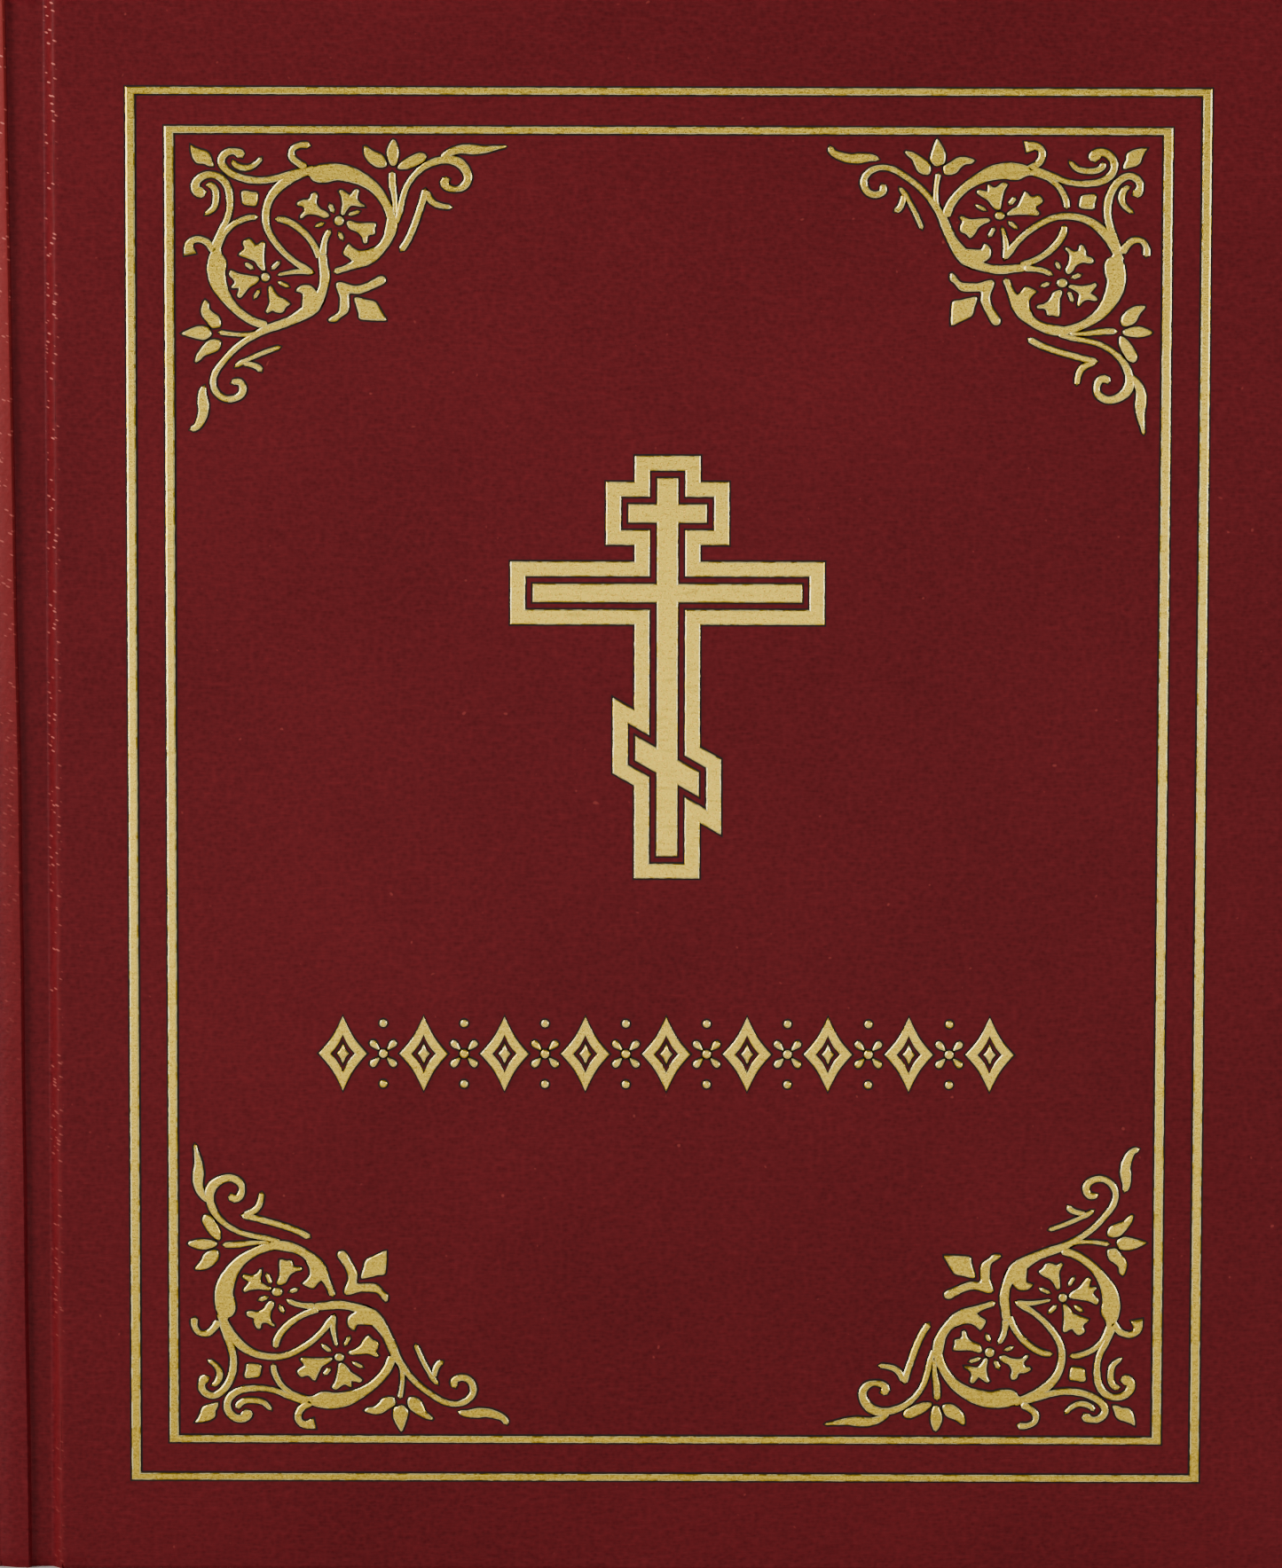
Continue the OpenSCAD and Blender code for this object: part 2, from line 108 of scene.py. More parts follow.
def thicken(piece, thickness, offset):
    shell = piece.modifiers.new("thickness", "SOLIDIFY")
    shell.thickness = thickness
    shell.offset = offset
    pick(piece)
    bpy.ops.object.modifier_apply(modifier=shell.name)


def dress(piece, material, body=None):
    piece.data.materials.clear()
    piece.data.materials.append(material)
    if body:
        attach(piece, body)
    return piece


def placeVertices(piece, places):
    piece.data.vertices.foreach_set("co", [c for place in places for c in place])
    piece.data.update()
    # the place goes into the mesh, so the object stands at the origin
    pick(piece)
    bpy.ops.object.transform_apply(location=True, rotation=True, scale=True)
    return piece


def sheetOf(name, rows):
    # a grid whose rows are laid on the given places
    deselect()
    bpy.ops.mesh.primitive_grid_add(x_subdivisions=len(rows[0]) - 1, y_subdivisions=len(rows) - 1, size=1)
    piece = named(bpy.context.object, name)
    return placeVertices(piece, [place for row in rows for place in row])


def tubeOf(name, sections, looped=False):
    # sections that are closed loops, joined into a loop or closed to a point at each end
    rows = [list(section) + [section[0]] for section in sections]
    piece = sheetOf(name, rows + [rows[0]] if looped else rows)
    edit(piece, "VERT")
    bpy.ops.mesh.remove_doubles(threshold=1e-7)
    bpy.ops.mesh.normals_make_consistent(inside=False)
    leave()
    return piece


def copyOf(node, name):
    # a merged copy of a node of the model, ready to be cut and bent
    piece = bpy.data.objects.new(name, nodes[node].data.copy())
    bpy.context.scene.collection.objects.link(piece)
    edit(piece, "VERT")
    bpy.ops.mesh.remove_doubles(threshold=1e-6)
    bpy.ops.mesh.dissolve_limited(angle_limit=0.01)
    leave()
    return named(piece, name)


def cutAcross(piece, places):
    # cuts at these places along x, so that the piece can bend there
    for place in places:
        edit(piece)
        bpy.ops.mesh.bisect(plane_co=(place, 0, 0), plane_no=(1, 0, 0))
        leave()
    return piece


def spread(first, last, count):
    return [first + (last - first) * i / (count - 1) for i in range(count)]


def jitter(a, b, c=0.0):
    return noise.noise(Vector((a, b, c)))


# materials

def linear(red, green, blue):
    parts = []
    for value in (red, green, blue):
        value /= 255
        parts.append(value / 12.92 if value <= 0.04045 else ((value + 0.055) / 1.055) ** 2.4)
    return (*parts, 1)


class Finish:
    # a material and short ways to add its nodes
    def __init__(self, name, colour, roughness, **sockets):
        self.material = bpy.data.materials.new(name)
        self.material.use_nodes = True
        self.tree = self.material.node_tree
        self.shader = self.tree.nodes["Principled BSDF"]
        self.shader.inputs["Base Color"].default_value = colour
        self.shader.inputs["Roughness"].default_value = roughness
        for label, value in sockets.items():
            self.shader.inputs[label.replace("_", " ")].default_value = value
        self.place = self.tree.nodes.new("ShaderNodeTexCoord").outputs["Object"]

    def feed(self, socket, value):
        # a socket takes a plain value or another node's output
        if isinstance(value, (int, float, tuple)):
            socket.default_value = value
        else:
            self.tree.links.new(value, socket)

    def add(self, kind, output, settings=None, **sockets):
        node = self.tree.nodes.new("ShaderNode" + kind)
        for label, value in (settings or {}).items():
            setattr(node, label, value)
        for label, value in sockets.items():
            self.feed(node.inputs[label.replace("_", " ")], value)
        return node.outputs[output]

    def stretched(self, x, y, z):
        return self.add("Mapping", "Vector", Scale=(x, y, z), Vector=self.place)

    def tilted(self, sizes, degrees):
        # turned about the cover's own axis first, then divided by the sizes
        turn = (0, math.radians(degrees), 0)
        return self.add("Mapping", "Vector", {"vector_type": "TEXTURE"}, Scale=sizes, Rotation=turn, Vector=self.place)

    def cloud(self, scale, detail=2.0, roughness=0.5, place=None):
        return self.add("TexNoise", "Fac", Scale=scale, Detail=detail, Roughness=roughness, Vector=place or self.place)

    def cells(self, scale, feature="F1", place=None):
        return self.add("TexVoronoi", "Distance", {"feature": feature}, Scale=scale, Vector=place or self.place)

    def wave(self, direction, distortion, place):
        return self.add("TexWave", "Fac", {"bands_direction": direction}, Scale=1, Distortion=distortion, Vector=place)

    def ramp(self, source, stops):
        # two stops, each a position and a colour or a grey
        node = self.tree.nodes.new("ShaderNodeValToRGB")
        for element, (at, colour) in zip(node.color_ramp.elements, stops):
            element.position = at
            element.color = colour if isinstance(colour, tuple) else (colour, colour, colour, 1)
        self.feed(node.inputs["Fac"], source)
        return node.outputs["Color"]

    def math(self, operation, a, b):
        node = self.tree.nodes.new("ShaderNodeMath")
        node.operation = operation
        self.feed(node.inputs[0], a)
        self.feed(node.inputs[1], b)
        return node.outputs["Value"]

    def plus(self, a, b):
        return self.math("ADD", a, b)

    def minus(self, a, b):
        return self.math("SUBTRACT", a, b)

    def times(self, a, b):
        return self.math("MULTIPLY", a, b)

    def mix(self, share, a, b):
        node = self.tree.nodes.new("ShaderNodeMix")
        node.data_type = "RGBA"
        for label, kind, value in (("Factor", "VALUE", share), ("A", "RGBA", a), ("B", "RGBA", b)):
            self.feed([s for s in node.inputs if s.name == label and s.type == kind][0], value)
        return [s for s in node.outputs if s.type == "RGBA"][0]

    def within(self, axis, low, high):
        # 0 before low and 1 after high, along one axis of the object
        at = self.add("SeparateXYZ", axis, Vector=self.place)
        return self.add("MapRange", "Result", From_Min=low, From_Max=high, Value=at)

    def colour(self, source):
        self.feed(self.shader.inputs["Base Color"], source)

    def rough(self, source, low, high):
        scaled = self.add("MapRange", "Result", To_Min=low, To_Max=high, Value=source)
        self.feed(self.shader.inputs["Roughness"], scaled)

    def bumps(self, layers):
        # each layer is (height, distance in metres, strength)
        below = {}
        for height, distance, strength in layers:
            below = {"Normal": self.add("Bump", "Normal", Distance=distance, Strength=strength, Height=height, **below)}
        self.feed(self.shader.inputs["Normal"], below["Normal"])


def makeLeather():
    look = {
        "dark": linear(84, 14, 21), "light": linear(112, 27, 34), "glossSpeckColour": linear(170, 70, 66),
        "hingeSheenColour": linear(128, 32, 34), "glintColour": linear(208, 108, 100), "shoulder": linear(168, 58, 54),
        "roughness": 0.45, "pebble": 1500, "pores": 2600, "grain": (600, 600, 3600), "patches": 34, "glossSpecks": 700,
        # bands in mm from the shoulder for the painted sheen and painted glints: start, end and how soft the ends are
        "hingeSheen": (5.5, 6.8, 0.25), "glintBand": (5.2, 6.9, 0.3), "crest": (-9, 3, 0.4),
        "crestRise": (14.95, 14.6),      # mm from the middle of the book
        "nickGlintSize": (1.7 * mm, 3 * mm, 0.62 * mm), "nickGlintTurn": 24,
    }
    skin = Finish("redLeatherette", look["light"], look["roughness"], Specular_IOR_Level=0.1)
    pebble = skin.cells(look["pebble"], "SMOOTH_F1")
    pores = skin.cloud(look["pores"], 3)
    grain = skin.cloud(1, 4, 0.7, skin.stretched(*look["grain"]))
    patches = skin.cloud(look["patches"], 3)
    shade = skin.plus(skin.times(pebble, 0.35), skin.times(patches, 0.25))
    shade = skin.plus(shade, skin.times(grain, 0.5))
    tone = skin.ramp(shade, [(0.34, look["dark"]), (0.76, look["light"])])
    # painted highlight: small bright specks stand in for gloss glints on the grain
    glossSpecks = skin.ramp(skin.cloud(look["glossSpecks"], 1), [(0.76, 0.0), (0.8, 0.4)])
    tone = skin.mix(glossSpecks, tone, look["glossSpeckColour"])

    def strip(low, high, soft):
        starts, ends = [skin.within("X", shoulderX + (at - soft) * mm, shoulderX + (at + soft) * mm)
                        for at in (low, high)]
        return skin.minus(starts, ends)

    # painted sheen: the board's hinge edge, which faces the key light, is painted lighter, with small painted glints
    # across it that are also bumped as nicks
    front = skin.minus(1, skin.within("Y", -2 * mm, 2 * mm))
    hingeSheen = skin.times(strip(*look["hingeSheen"]), front)
    tone = skin.mix(skin.times(hingeSheen, 0.25), tone, look["hingeSheenColour"])
    nickGlints = skin.ramp(skin.cells(1, "F1", skin.tilted(look["nickGlintSize"], look["nickGlintTurn"])), [(0.17, 1.0), (0.24, 0.0)])
    upper = skin.within("Z", -0.1 * bookHeight, 0.9 * bookHeight)
    # painted sheen on the shoulder's crest too, brighter towards the head, where the key light falls from above; the
    # painted glints reach onto it
    highest, lowest = look["crestRise"]
    raised = skin.minus(1, skin.within("Y", midY - highest * mm, midY - lowest * mm))
    crest = skin.times(strip(*look["crest"]), raised)
    wearAndSheen = skin.times(crest, skin.within("Z", 0.2 * bookHeight, 1.1 * bookHeight))
    tone = skin.mix(skin.times(wearAndSheen, 0.5), tone, look["shoulder"])
    reach = skin.plus(strip(*look["glintBand"]), skin.times(wearAndSheen, 1.1))
    nickGlints = skin.times(nickGlints, skin.times(reach, skin.times(front, upper)))
    skin.colour(skin.mix(nickGlints, tone, look["glintColour"]))
    skin.rough(skin.plus(skin.times(pores, 0.6), skin.times(grain, 0.4)), 0.36, 0.52)
    skin.bumps([(grain, 0.00008, 0.35), (pebble, 0.0002, 0.2), (pores, 0.0001, 0.3), (nickGlints, 0.0001, 0.6)])
    return skin.material


def makeFoil():
    look = {"deep": linear(202, 168, 54), "bright": linear(232, 198, 68), "olive": linear(150, 126, 46),
            "footShade": linear(120, 98, 34), "rim": linear(255, 240, 158), "roughness": 0.42,
            "rimAt": (0.96, 0.92), "footAt": (0.66, 0.6)}      # shares of the foil's height
    gold = Finish("goldFoil", look["bright"], look["roughness"], Metallic=1.0)
    grain = gold.cloud(5200, 2)
    mottle = gold.cloud(2400, 3, 0.6)
    streak = gold.cloud(1, 3, 0.6, gold.stretched(300, 300, 2400))
    tone = gold.ramp(mottle, [(0.36, look["deep"]), (0.56, look["bright"])])
    wearAndSheen = gold.ramp(streak, [(0.56, 0.0), (0.72, 0.45)])
    tone = gold.mix(wearAndSheen, tone, look["olive"])
    # painted highlights: bright places on the rounded rim stand in for glints of the lamps, and its steep foot is
    # painted darker as shade
    rim, foot = [gold.within("Y", coverFace - above * foilHeight, coverFace - below * foilHeight)
                 for above, below in (look["rimAt"], look["footAt"])]
    glint = gold.ramp(gold.cloud(420, 3, 0.65), [(0.42, 0.0), (0.52, 1.0)])
    glint = gold.times(gold.minus(rim, foot), glint)
    tone = gold.mix(gold.times(foot, 0.5), tone, look["footShade"])
    gold.colour(gold.mix(glint, tone, look["rim"]))
    gold.feed(gold.shader.inputs["Metallic"], gold.minus(1, gold.times(glint, 0.35)))
    gold.rough(gold.times(mottle, gold.minus(1, rim)), 0.17, 0.4)
    gold.bumps([(streak, 0.00006, 0.25), (grain, 0.00004, 0.5)])
    return gold.material


def makePaper(name, light, dark, along):
    # along stretches the fibres and the lines between leaves
    paper = Finish(name, light, 0.85, Specular_IOR_Level=0.25)
    lines = paper.cloud(1, 3, 0.6, paper.stretched(*along))
    fibres = paper.cloud(900, 4, 0.7)
    clouds = paper.cloud(25, 2)
    mixed = paper.plus(paper.times(lines, 0.6), paper.times(clouds, 0.4))
    paper.colour(paper.ramp(mixed, [(0.35, dark), (0.62, light)]))
    paper.rough(fibres, 0.75, 0.95)
    paper.bumps([(fibres, 0.00005, 0.3)])
    return paper.material


def makeCloth(name, light, dark, pitch, depth):
    cloth = Finish(name, light, 0.8, Specular_IOR_Level=0.2, Sheen_Weight=0.2)
    warp, weft = [cloth.wave(way, 0.6, cloth.stretched(pitch, pitch, pitch)) for way in "XZ"]
    weave = cloth.math("MAXIMUM", warp, weft)
    fuzz = cloth.cloud(3000, 2)
    cloth.colour(cloth.mix(fuzz, cloth.ramp(weave, [(0.2, dark), (0.9, light)]), light))
    cloth.rough(fuzz, 0.7, 0.9)
    cloth.bumps([(weave, depth, 0.7), (fuzz, depth / 4, 0.4)])
    return cloth.material


def makeMatt(name, light, dark, scale, roughness, depth):
    plain = Finish(name, light, roughness, Specular_IOR_Level=0.3)
    grain = plain.cloud(scale, 5, 0.7)
    spots = plain.cells(scale * 0.7)
    shade = plain.times(grain, plain.plus(spots, 0.6))
    plain.colour(plain.ramp(shade, [(0.25, dark), (0.65, light)]))
    plain.rough(grain, roughness - 0.1, min(1, roughness + 0.1))
    plain.bumps([(grain, depth, 0.5)])
    return plain.material


leather = makeLeather()
foil = makeFoil()
# dark edge round the foil: leather darkened by the hot stamp, with painted shade at the foot of the foil
pressedAndShadow = makeMatt("pressedEdgeAndShadow", linear(34, 9, 8), linear(14, 5, 4), 1800, 0.6, 0.00005)
pageEdges = makePaper("pageEdges", linear(240, 235, 221), linear(220, 211, 191), (9, 5200, 9))
endPaper = makePaper("endPaper", linear(240, 235, 222), linear(228, 220, 203), (260, 260, 260))
liningPaper = makePaper("liningPaper", linear(176, 142, 98), linear(140, 108, 70), (400, 400, 60))
greyBoard = makeMatt("greyBoard", linear(160, 154, 144), linear(112, 106, 98), 900, 0.9, 0.0001)
spineCard = makeMatt("spineCard", linear(170, 150, 120), linear(136, 116, 88), 900, 0.85, 0.0001)
glueLook = makeMatt("spineGlue", linear(214, 196, 150), linear(178, 156, 108), 500, 0.45, 0.0001)
mullCloth = makeCloth("mullCloth", linear(226, 220, 204), linear(150, 140, 120), 2600, 0.0001)
threadLook = makeCloth("linenThread", linear(232, 226, 210), linear(180, 170, 148), 5200, 0.00006)
bandCloth = makeCloth("bandCloth", linear(222, 212, 188), linear(170, 156, 124), 4200, 0.00006)
redSilk = makeCloth("redSilk", linear(150, 30, 32), linear(88, 14, 18), 5200, 0.00006)
creamSilk = makeCloth("creamSilk", linear(236, 226, 196), linear(186, 170, 130), 5200, 0.00006)
print("materials made")


# foil: every form is stamped a little proud of the leather, inside a dark edge of pressed leather and painted shade

stamp = {
    "bevel": 0.18 * mm,      # width of the foil's rounded rim
    "lip": 0.17,             # the rim's steep foot: its share of the bevel
    "lipHeight": 0.64,       # and of the foil's height
    "insets": ((0.17, 0.2), (0.83, 0.5)),      # the same rim on a filled form: width and rise, by the bevel
    "core": 0.45,            # least half width of a stroke's flat top
    "tip": (0.12, 0.15),     # least width and height at a rounded end
    "cutEnd": 0.2,           # height at an end that is cut off square
    "step": 0.32 * mm,       # spacing along a curve
    "edge": 0.24 * mm,       # dark edge round the foil
    "edgeHeight": 0.014 * mm,
    "edgeBevel": 0.001,
    "wobble": 0.045 * mm,    # unevenness of the stamped outline
    "uneven": 0.002 * mm,    # step in height from one form to the next
    "sunk": 0.02 * mm,
}
stamped = 0


def sides(points):
    return zip(points, points[1:] + points[:1])


def distances(line):
    # how far along the line each point lies
    run = [0.0]
    for a, b in zip(line, line[1:]):
        run.append(run[-1] + math.hypot(b[0] - a[0], b[1] - a[1]))
    return run


def softLine(points, closed=False):
    # even steps along a soft curve through the points
    count = len(points)
    fine = []
    for i in range(count if closed else count - 1):
        near = [points[(i + k) % count] if closed else points[min(max(i + k, 0), count - 1)] for k in (-1, 0, 1, 2)]
        for k in range(10):
            t = k / 10
            fine.append([0.5 * (2 * b + (c - a) * t + (2 * a - 5 * b + 4 * c - d) * t * t
                                + (3 * b - a - 3 * c + d) * t ** 3) for a, b, c, d in zip(*near)])
    fine.append(list(points[0] if closed else points[-1]))
    run = distances(fine)
    pieces = max(4, round(run[-1] / (stamp["step"] / mm)))
    line, k = [], 0
    for i in range(pieces if closed else pieces + 1):
        want = run[-1] * i / pieces
        while k < len(run) - 2 and run[k + 1] < want:
            k += 1
        t = (want - run[k]) / max(run[k + 1] - run[k], 1e-9)
        line.append([a + (b - a) * t for a, b in zip(fine[k], fine[k + 1])])
    return line


def onCover(x, down, height, corner):
    # x and down in mm from a corner on the cover, height out of the leather in metres
    return (corner[0] + x * mm, coverFace - height, corner[1] - down * mm)


def stampHeight(grow):
    # each form has a height of its own, so that strokes that cross don't share a face
    global stamped
    stamped += 1
    return stamp["edgeHeight"] if grow else foilHeight + (stamped % 9 - 4) * stamp["uneven"]


def stampLine(points, corner, grow=0.0, squareEnd=False):
    # a stroke whose width changes along it; grow makes the dark edge round it
    line = softLine(points)
    height = stampHeight(grow)
    bevel, foot = stamp["bevel"] / mm, -stamp["sunk"]
    run = distances(line)
    total = len(line) - 1
    rows = []
    for i, (x, down, width) in enumerate(line):
        a, b = line[max(i - 1, 0)], line[min(i + 1, total)]
        tx, ty = b[0] - a[0], b[1] - a[1]
        length = math.hypot(tx, ty) or 1
        tx, ty = tx / length, ty / length
        half = width / 2 + grow + stamp["wobble"] / mm * jitter(x * 1.7, down * 1.7)
        if i in (0, total):
            out = grow if i else -grow
            x, down = x + tx * out, down + ty * out
        rise = 1.0
        thin, low = stamp["tip"]
        for far, flat in ((run[i], False), (run[-1] - run[i], squareEnd)):
            if not flat and far < half:
                half *= max(thin, math.sqrt(max(0.0, 1 - (1 - far / half) ** 2)))
                rise = min(rise, max(low, math.sqrt(min(1.0, far / bevel))))
            if flat and far < 1e-6:
                rise = stamp["cutEnd"]
        inner = max(half - bevel, half * stamp["core"])
        middle = half - (half - inner) * stamp["lip"]
        side = [(half, foot), (middle, height * rise * stamp["lipHeight"]), (inner, height * rise)]
        if grow:
            side = [(half, foot), (half, height)]
        section = [(-across, up) for across, up in side] + side[::-1]
        rows.append([onCover(x - ty * across, down + tx * across, up, corner) for across, up in section])
        if i in (0, total):
            rows.insert(len(rows) if i else 0, [onCover(x, down, foot, corner)] * len(section))
    return tubeOf("stroke", rows)


def outset(points, distance):
    # moves each side of a closed outline outwards and meets the sides again at their corners
    turn = 1 if sum(a[0] * b[1] - b[0] * a[1] for a, b in sides(points)) > 0 else -1

    def normal(a, b):
        along = Vector((b[0] - a[0], b[1] - a[1])).normalized()
        return Vector((along.y, -along.x)) * turn
    moved = []
    for before, here, after in zip(points[-1:] + points[:-1], points, points[1:] + points[:1]):
        together = normal(before, here) + normal(here, after)
        share = max(together.length_squared / 2, 0.35)
        moved.append((here[0] + together.x * distance / share, here[1] + together.y * distance / share))
    return moved


def stampShape(points, corner, grow=0.0, soft=True):
    # a closed outline; the top is pulled in to make the rounded rim
    wobble = stamp["wobble"] / mm
    line = list(points)
    if soft:
        line = [(x + wobble * jitter(x * 1.7, y * 1.7, 3), y + wobble * jitter(x * 1.7, y * 1.7, 7))
                for x, y in softLine(points, closed=True)]
    if grow:
        line = outset(line, grow)
    height = stampHeight(grow)
    deselect()
    bpy.ops.mesh.primitive_circle_add(vertices=len(line), radius=1, fill_type="NGON")
    piece = bpy.context.object
    placeVertices(piece, [onCover(x, y, -stamp["sunk"], corner) for x, y in line])
    if piece.data.polygons[0].normal.y > 0:
        piece.data.flip_normals()
    edit(piece)
    insets = () if grow else stamp["insets"]
    climb = height + stamp["sunk"] - stamp["bevel"] * sum(rise for width, rise in insets)
    bpy.ops.mesh.extrude_region_move(TRANSFORM_OT_translate={"value": (0, -climb, 0)})
    for width, rise in insets:
        bpy.ops.mesh.inset(thickness=stamp["bevel"] * width, depth=stamp["bevel"] * rise)
    leave()
    return piece


def stampFrame(name, outer, inner, corner, width=0):
    # a flat ring between two closed outlines with the same number of points; without a width it is a dark edge
    height, bevel = stamp["edgeHeight"], stamp["edgeBevel"]
    if width:
        height, bevel = foilHeight, stamp["bevel"] / mm / width
    side = [(0, -stamp["sunk"]), (bevel * stamp["lip"], height * stamp["lipHeight"]), (bevel, height)]
    section = side + [(1 - share, up) for share, up in side[::-1]]
    sections = [[onCover(ox + (nx - ox) * share, oy + (ny - oy) * share, up, corner) for share, up in section]
                for (ox, oy), (nx, ny) in zip(outer, inner)]
    return tubeOf(name, sections, looped=True)


def foilPiece(piece, node):
    smooth(piece, 20)
    dress(piece, foil, "front_cover")
    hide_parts(node)


def edgePiece(piece):
    dress(piece, pressedAndShadow, "front_cover")


def walked(points, step, off=None, lead=None):
    # more points on the straight sides, each moved off the line; lead is the outline to keep in step with
    line = []
    for ((ax, ay), (bx, by)), (p, q) in zip(sides(points), sides(lead or points)):
        length = math.hypot(q[0] - p[0], q[1] - p[1])
        count = max(1, round(length / step))
        nx, ny = (q[1] - p[1]) / length, (p[0] - q[0]) / length
        for k in range(count):
            t = k / count
            x, y = ax + (bx - ax) * t, ay + (by - ay) * t
            out = off(x, y, length) if off and k else 0
            line.append((x + nx * out, y + ny * out))
    return line


def stampBand(name, node, outer, inner, corner, width, step=0.55):
    # a frame and its dark edge from two outlines
    wobble, edge = stamp["wobble"] / mm * 1.3, stamp["edge"] / mm

    def ragged(seed):
        return lambda x, y, length: wobble * (0.5 * jitter(x * 0.8, y * 0.8, seed) + jitter(x * 2.3, y * 2.3, seed))
    lines = walked(outer, step, ragged(1)), walked(inner, step, ragged(5), outer)
    foilPiece(stampFrame(name, *lines, corner, width), node)
    outer, inner = outset(outer, edge), outset(inner, -edge)
    edgePiece(stampFrame(name + "Edge", walked(outer, step), walked(inner, step, lead=outer), corner))


ruleCorner = (ruleLow.x, ruleHigh.z)
ruleWide, ruleTall = (ruleHigh.x - ruleLow.x) / mm, (ruleHigh.z - ruleLow.z) / mm
rule = {"side": 1.3, "end": 1.0, "inset": (insideLow.x - ruleLow.x) / mm, "spacing": 0.6}


def rectangle(dx, dy):
    return [(dx, dy), (ruleWide - dx, dy), (ruleWide - dx, ruleTall - dy), (dx, ruleTall - dy)]


for name, node, at in (("foilOuterRule", "foil_outer_rule", 0), ("foilInnerRule", "foil_inner_rule", rule["inset"])):
    down = at * (ruleHigh.z - insideHigh.z) / (insideLow.x - ruleLow.x)
    stampBand(name, node, rectangle(at, down), rectangle(at + rule["side"], down + rule["end"]), ruleCorner,
              rule["end"], rule["spacing"])

# the cross: half widths and drops are in mm from its top middle
cross = {"shaft": 1.48, "upperArm": 5.5, "upperDrop": 3.65, "arm": 2.6, "mainArm": 18.9, "mainDrop": 14.8,
         "foot": 4.5, "footDrop": 36.1, "footFall": 5.1, "footHeight": 3.5, "gap": 1.02, "outline": 2.1,
         "spacing": 0.9}
crossTop = ((crossLow.x + crossHigh.x) / 2, crossHigh.z)
crossTall = (crossHigh.z - crossLow.z) / mm


def crossSide(sign):
    # one side from the top down; the foot's bar falls to the right
    shaft, arm, foot, height = cross["shaft"], cross["arm"], cross["foot"], cross["footHeight"]
    inner = cross["footDrop"] + cross["footFall"] / (2 * foot) * (foot + sign * shaft)
    outer = cross["footDrop"] + cross["footFall"] * (1 + sign) / 2
    line = [(shaft, 0)]
    for reach, drop in ((cross["upperArm"], cross["upperDrop"]), (cross["mainArm"], cross["mainDrop"])):
        line += [(shaft, drop), (reach, drop), (reach, drop + arm), (shaft, drop + arm)]
    line += [(shaft, inner), (foot, outer), (foot, outer + height), (shaft, inner + height), (shaft, crossTall)]
    return [(sign * x, y) for x, y in line]


# from the top left corner down the right side and up the left
outline = crossSide(-1)[:1] + crossSide(1) + crossSide(-1)[:0:-1]
line = walked(outline, cross["spacing"], lambda x, y, length: stamp["wobble"] / mm * jitter(x * 0.9, y * 0.9, length))
foilPiece(named(stampShape(line, crossTop, soft=False), "foilCross"), "foil_cross")
# the outline is already wider here, so grow only makes it a dark edge
edgePiece(named(stampShape(outset(outline, stamp["edge"] / mm), crossTop, grow=0.001, soft=False), "foilCrossEdge"))
stampBand("foilCrossOutline", "foil_cross_outline", outset(outline, cross["gap"] + cross["outline"]),
          outset(outline, cross["gap"]), crossTop, cross["outline"])
print("rules and cross stamped")

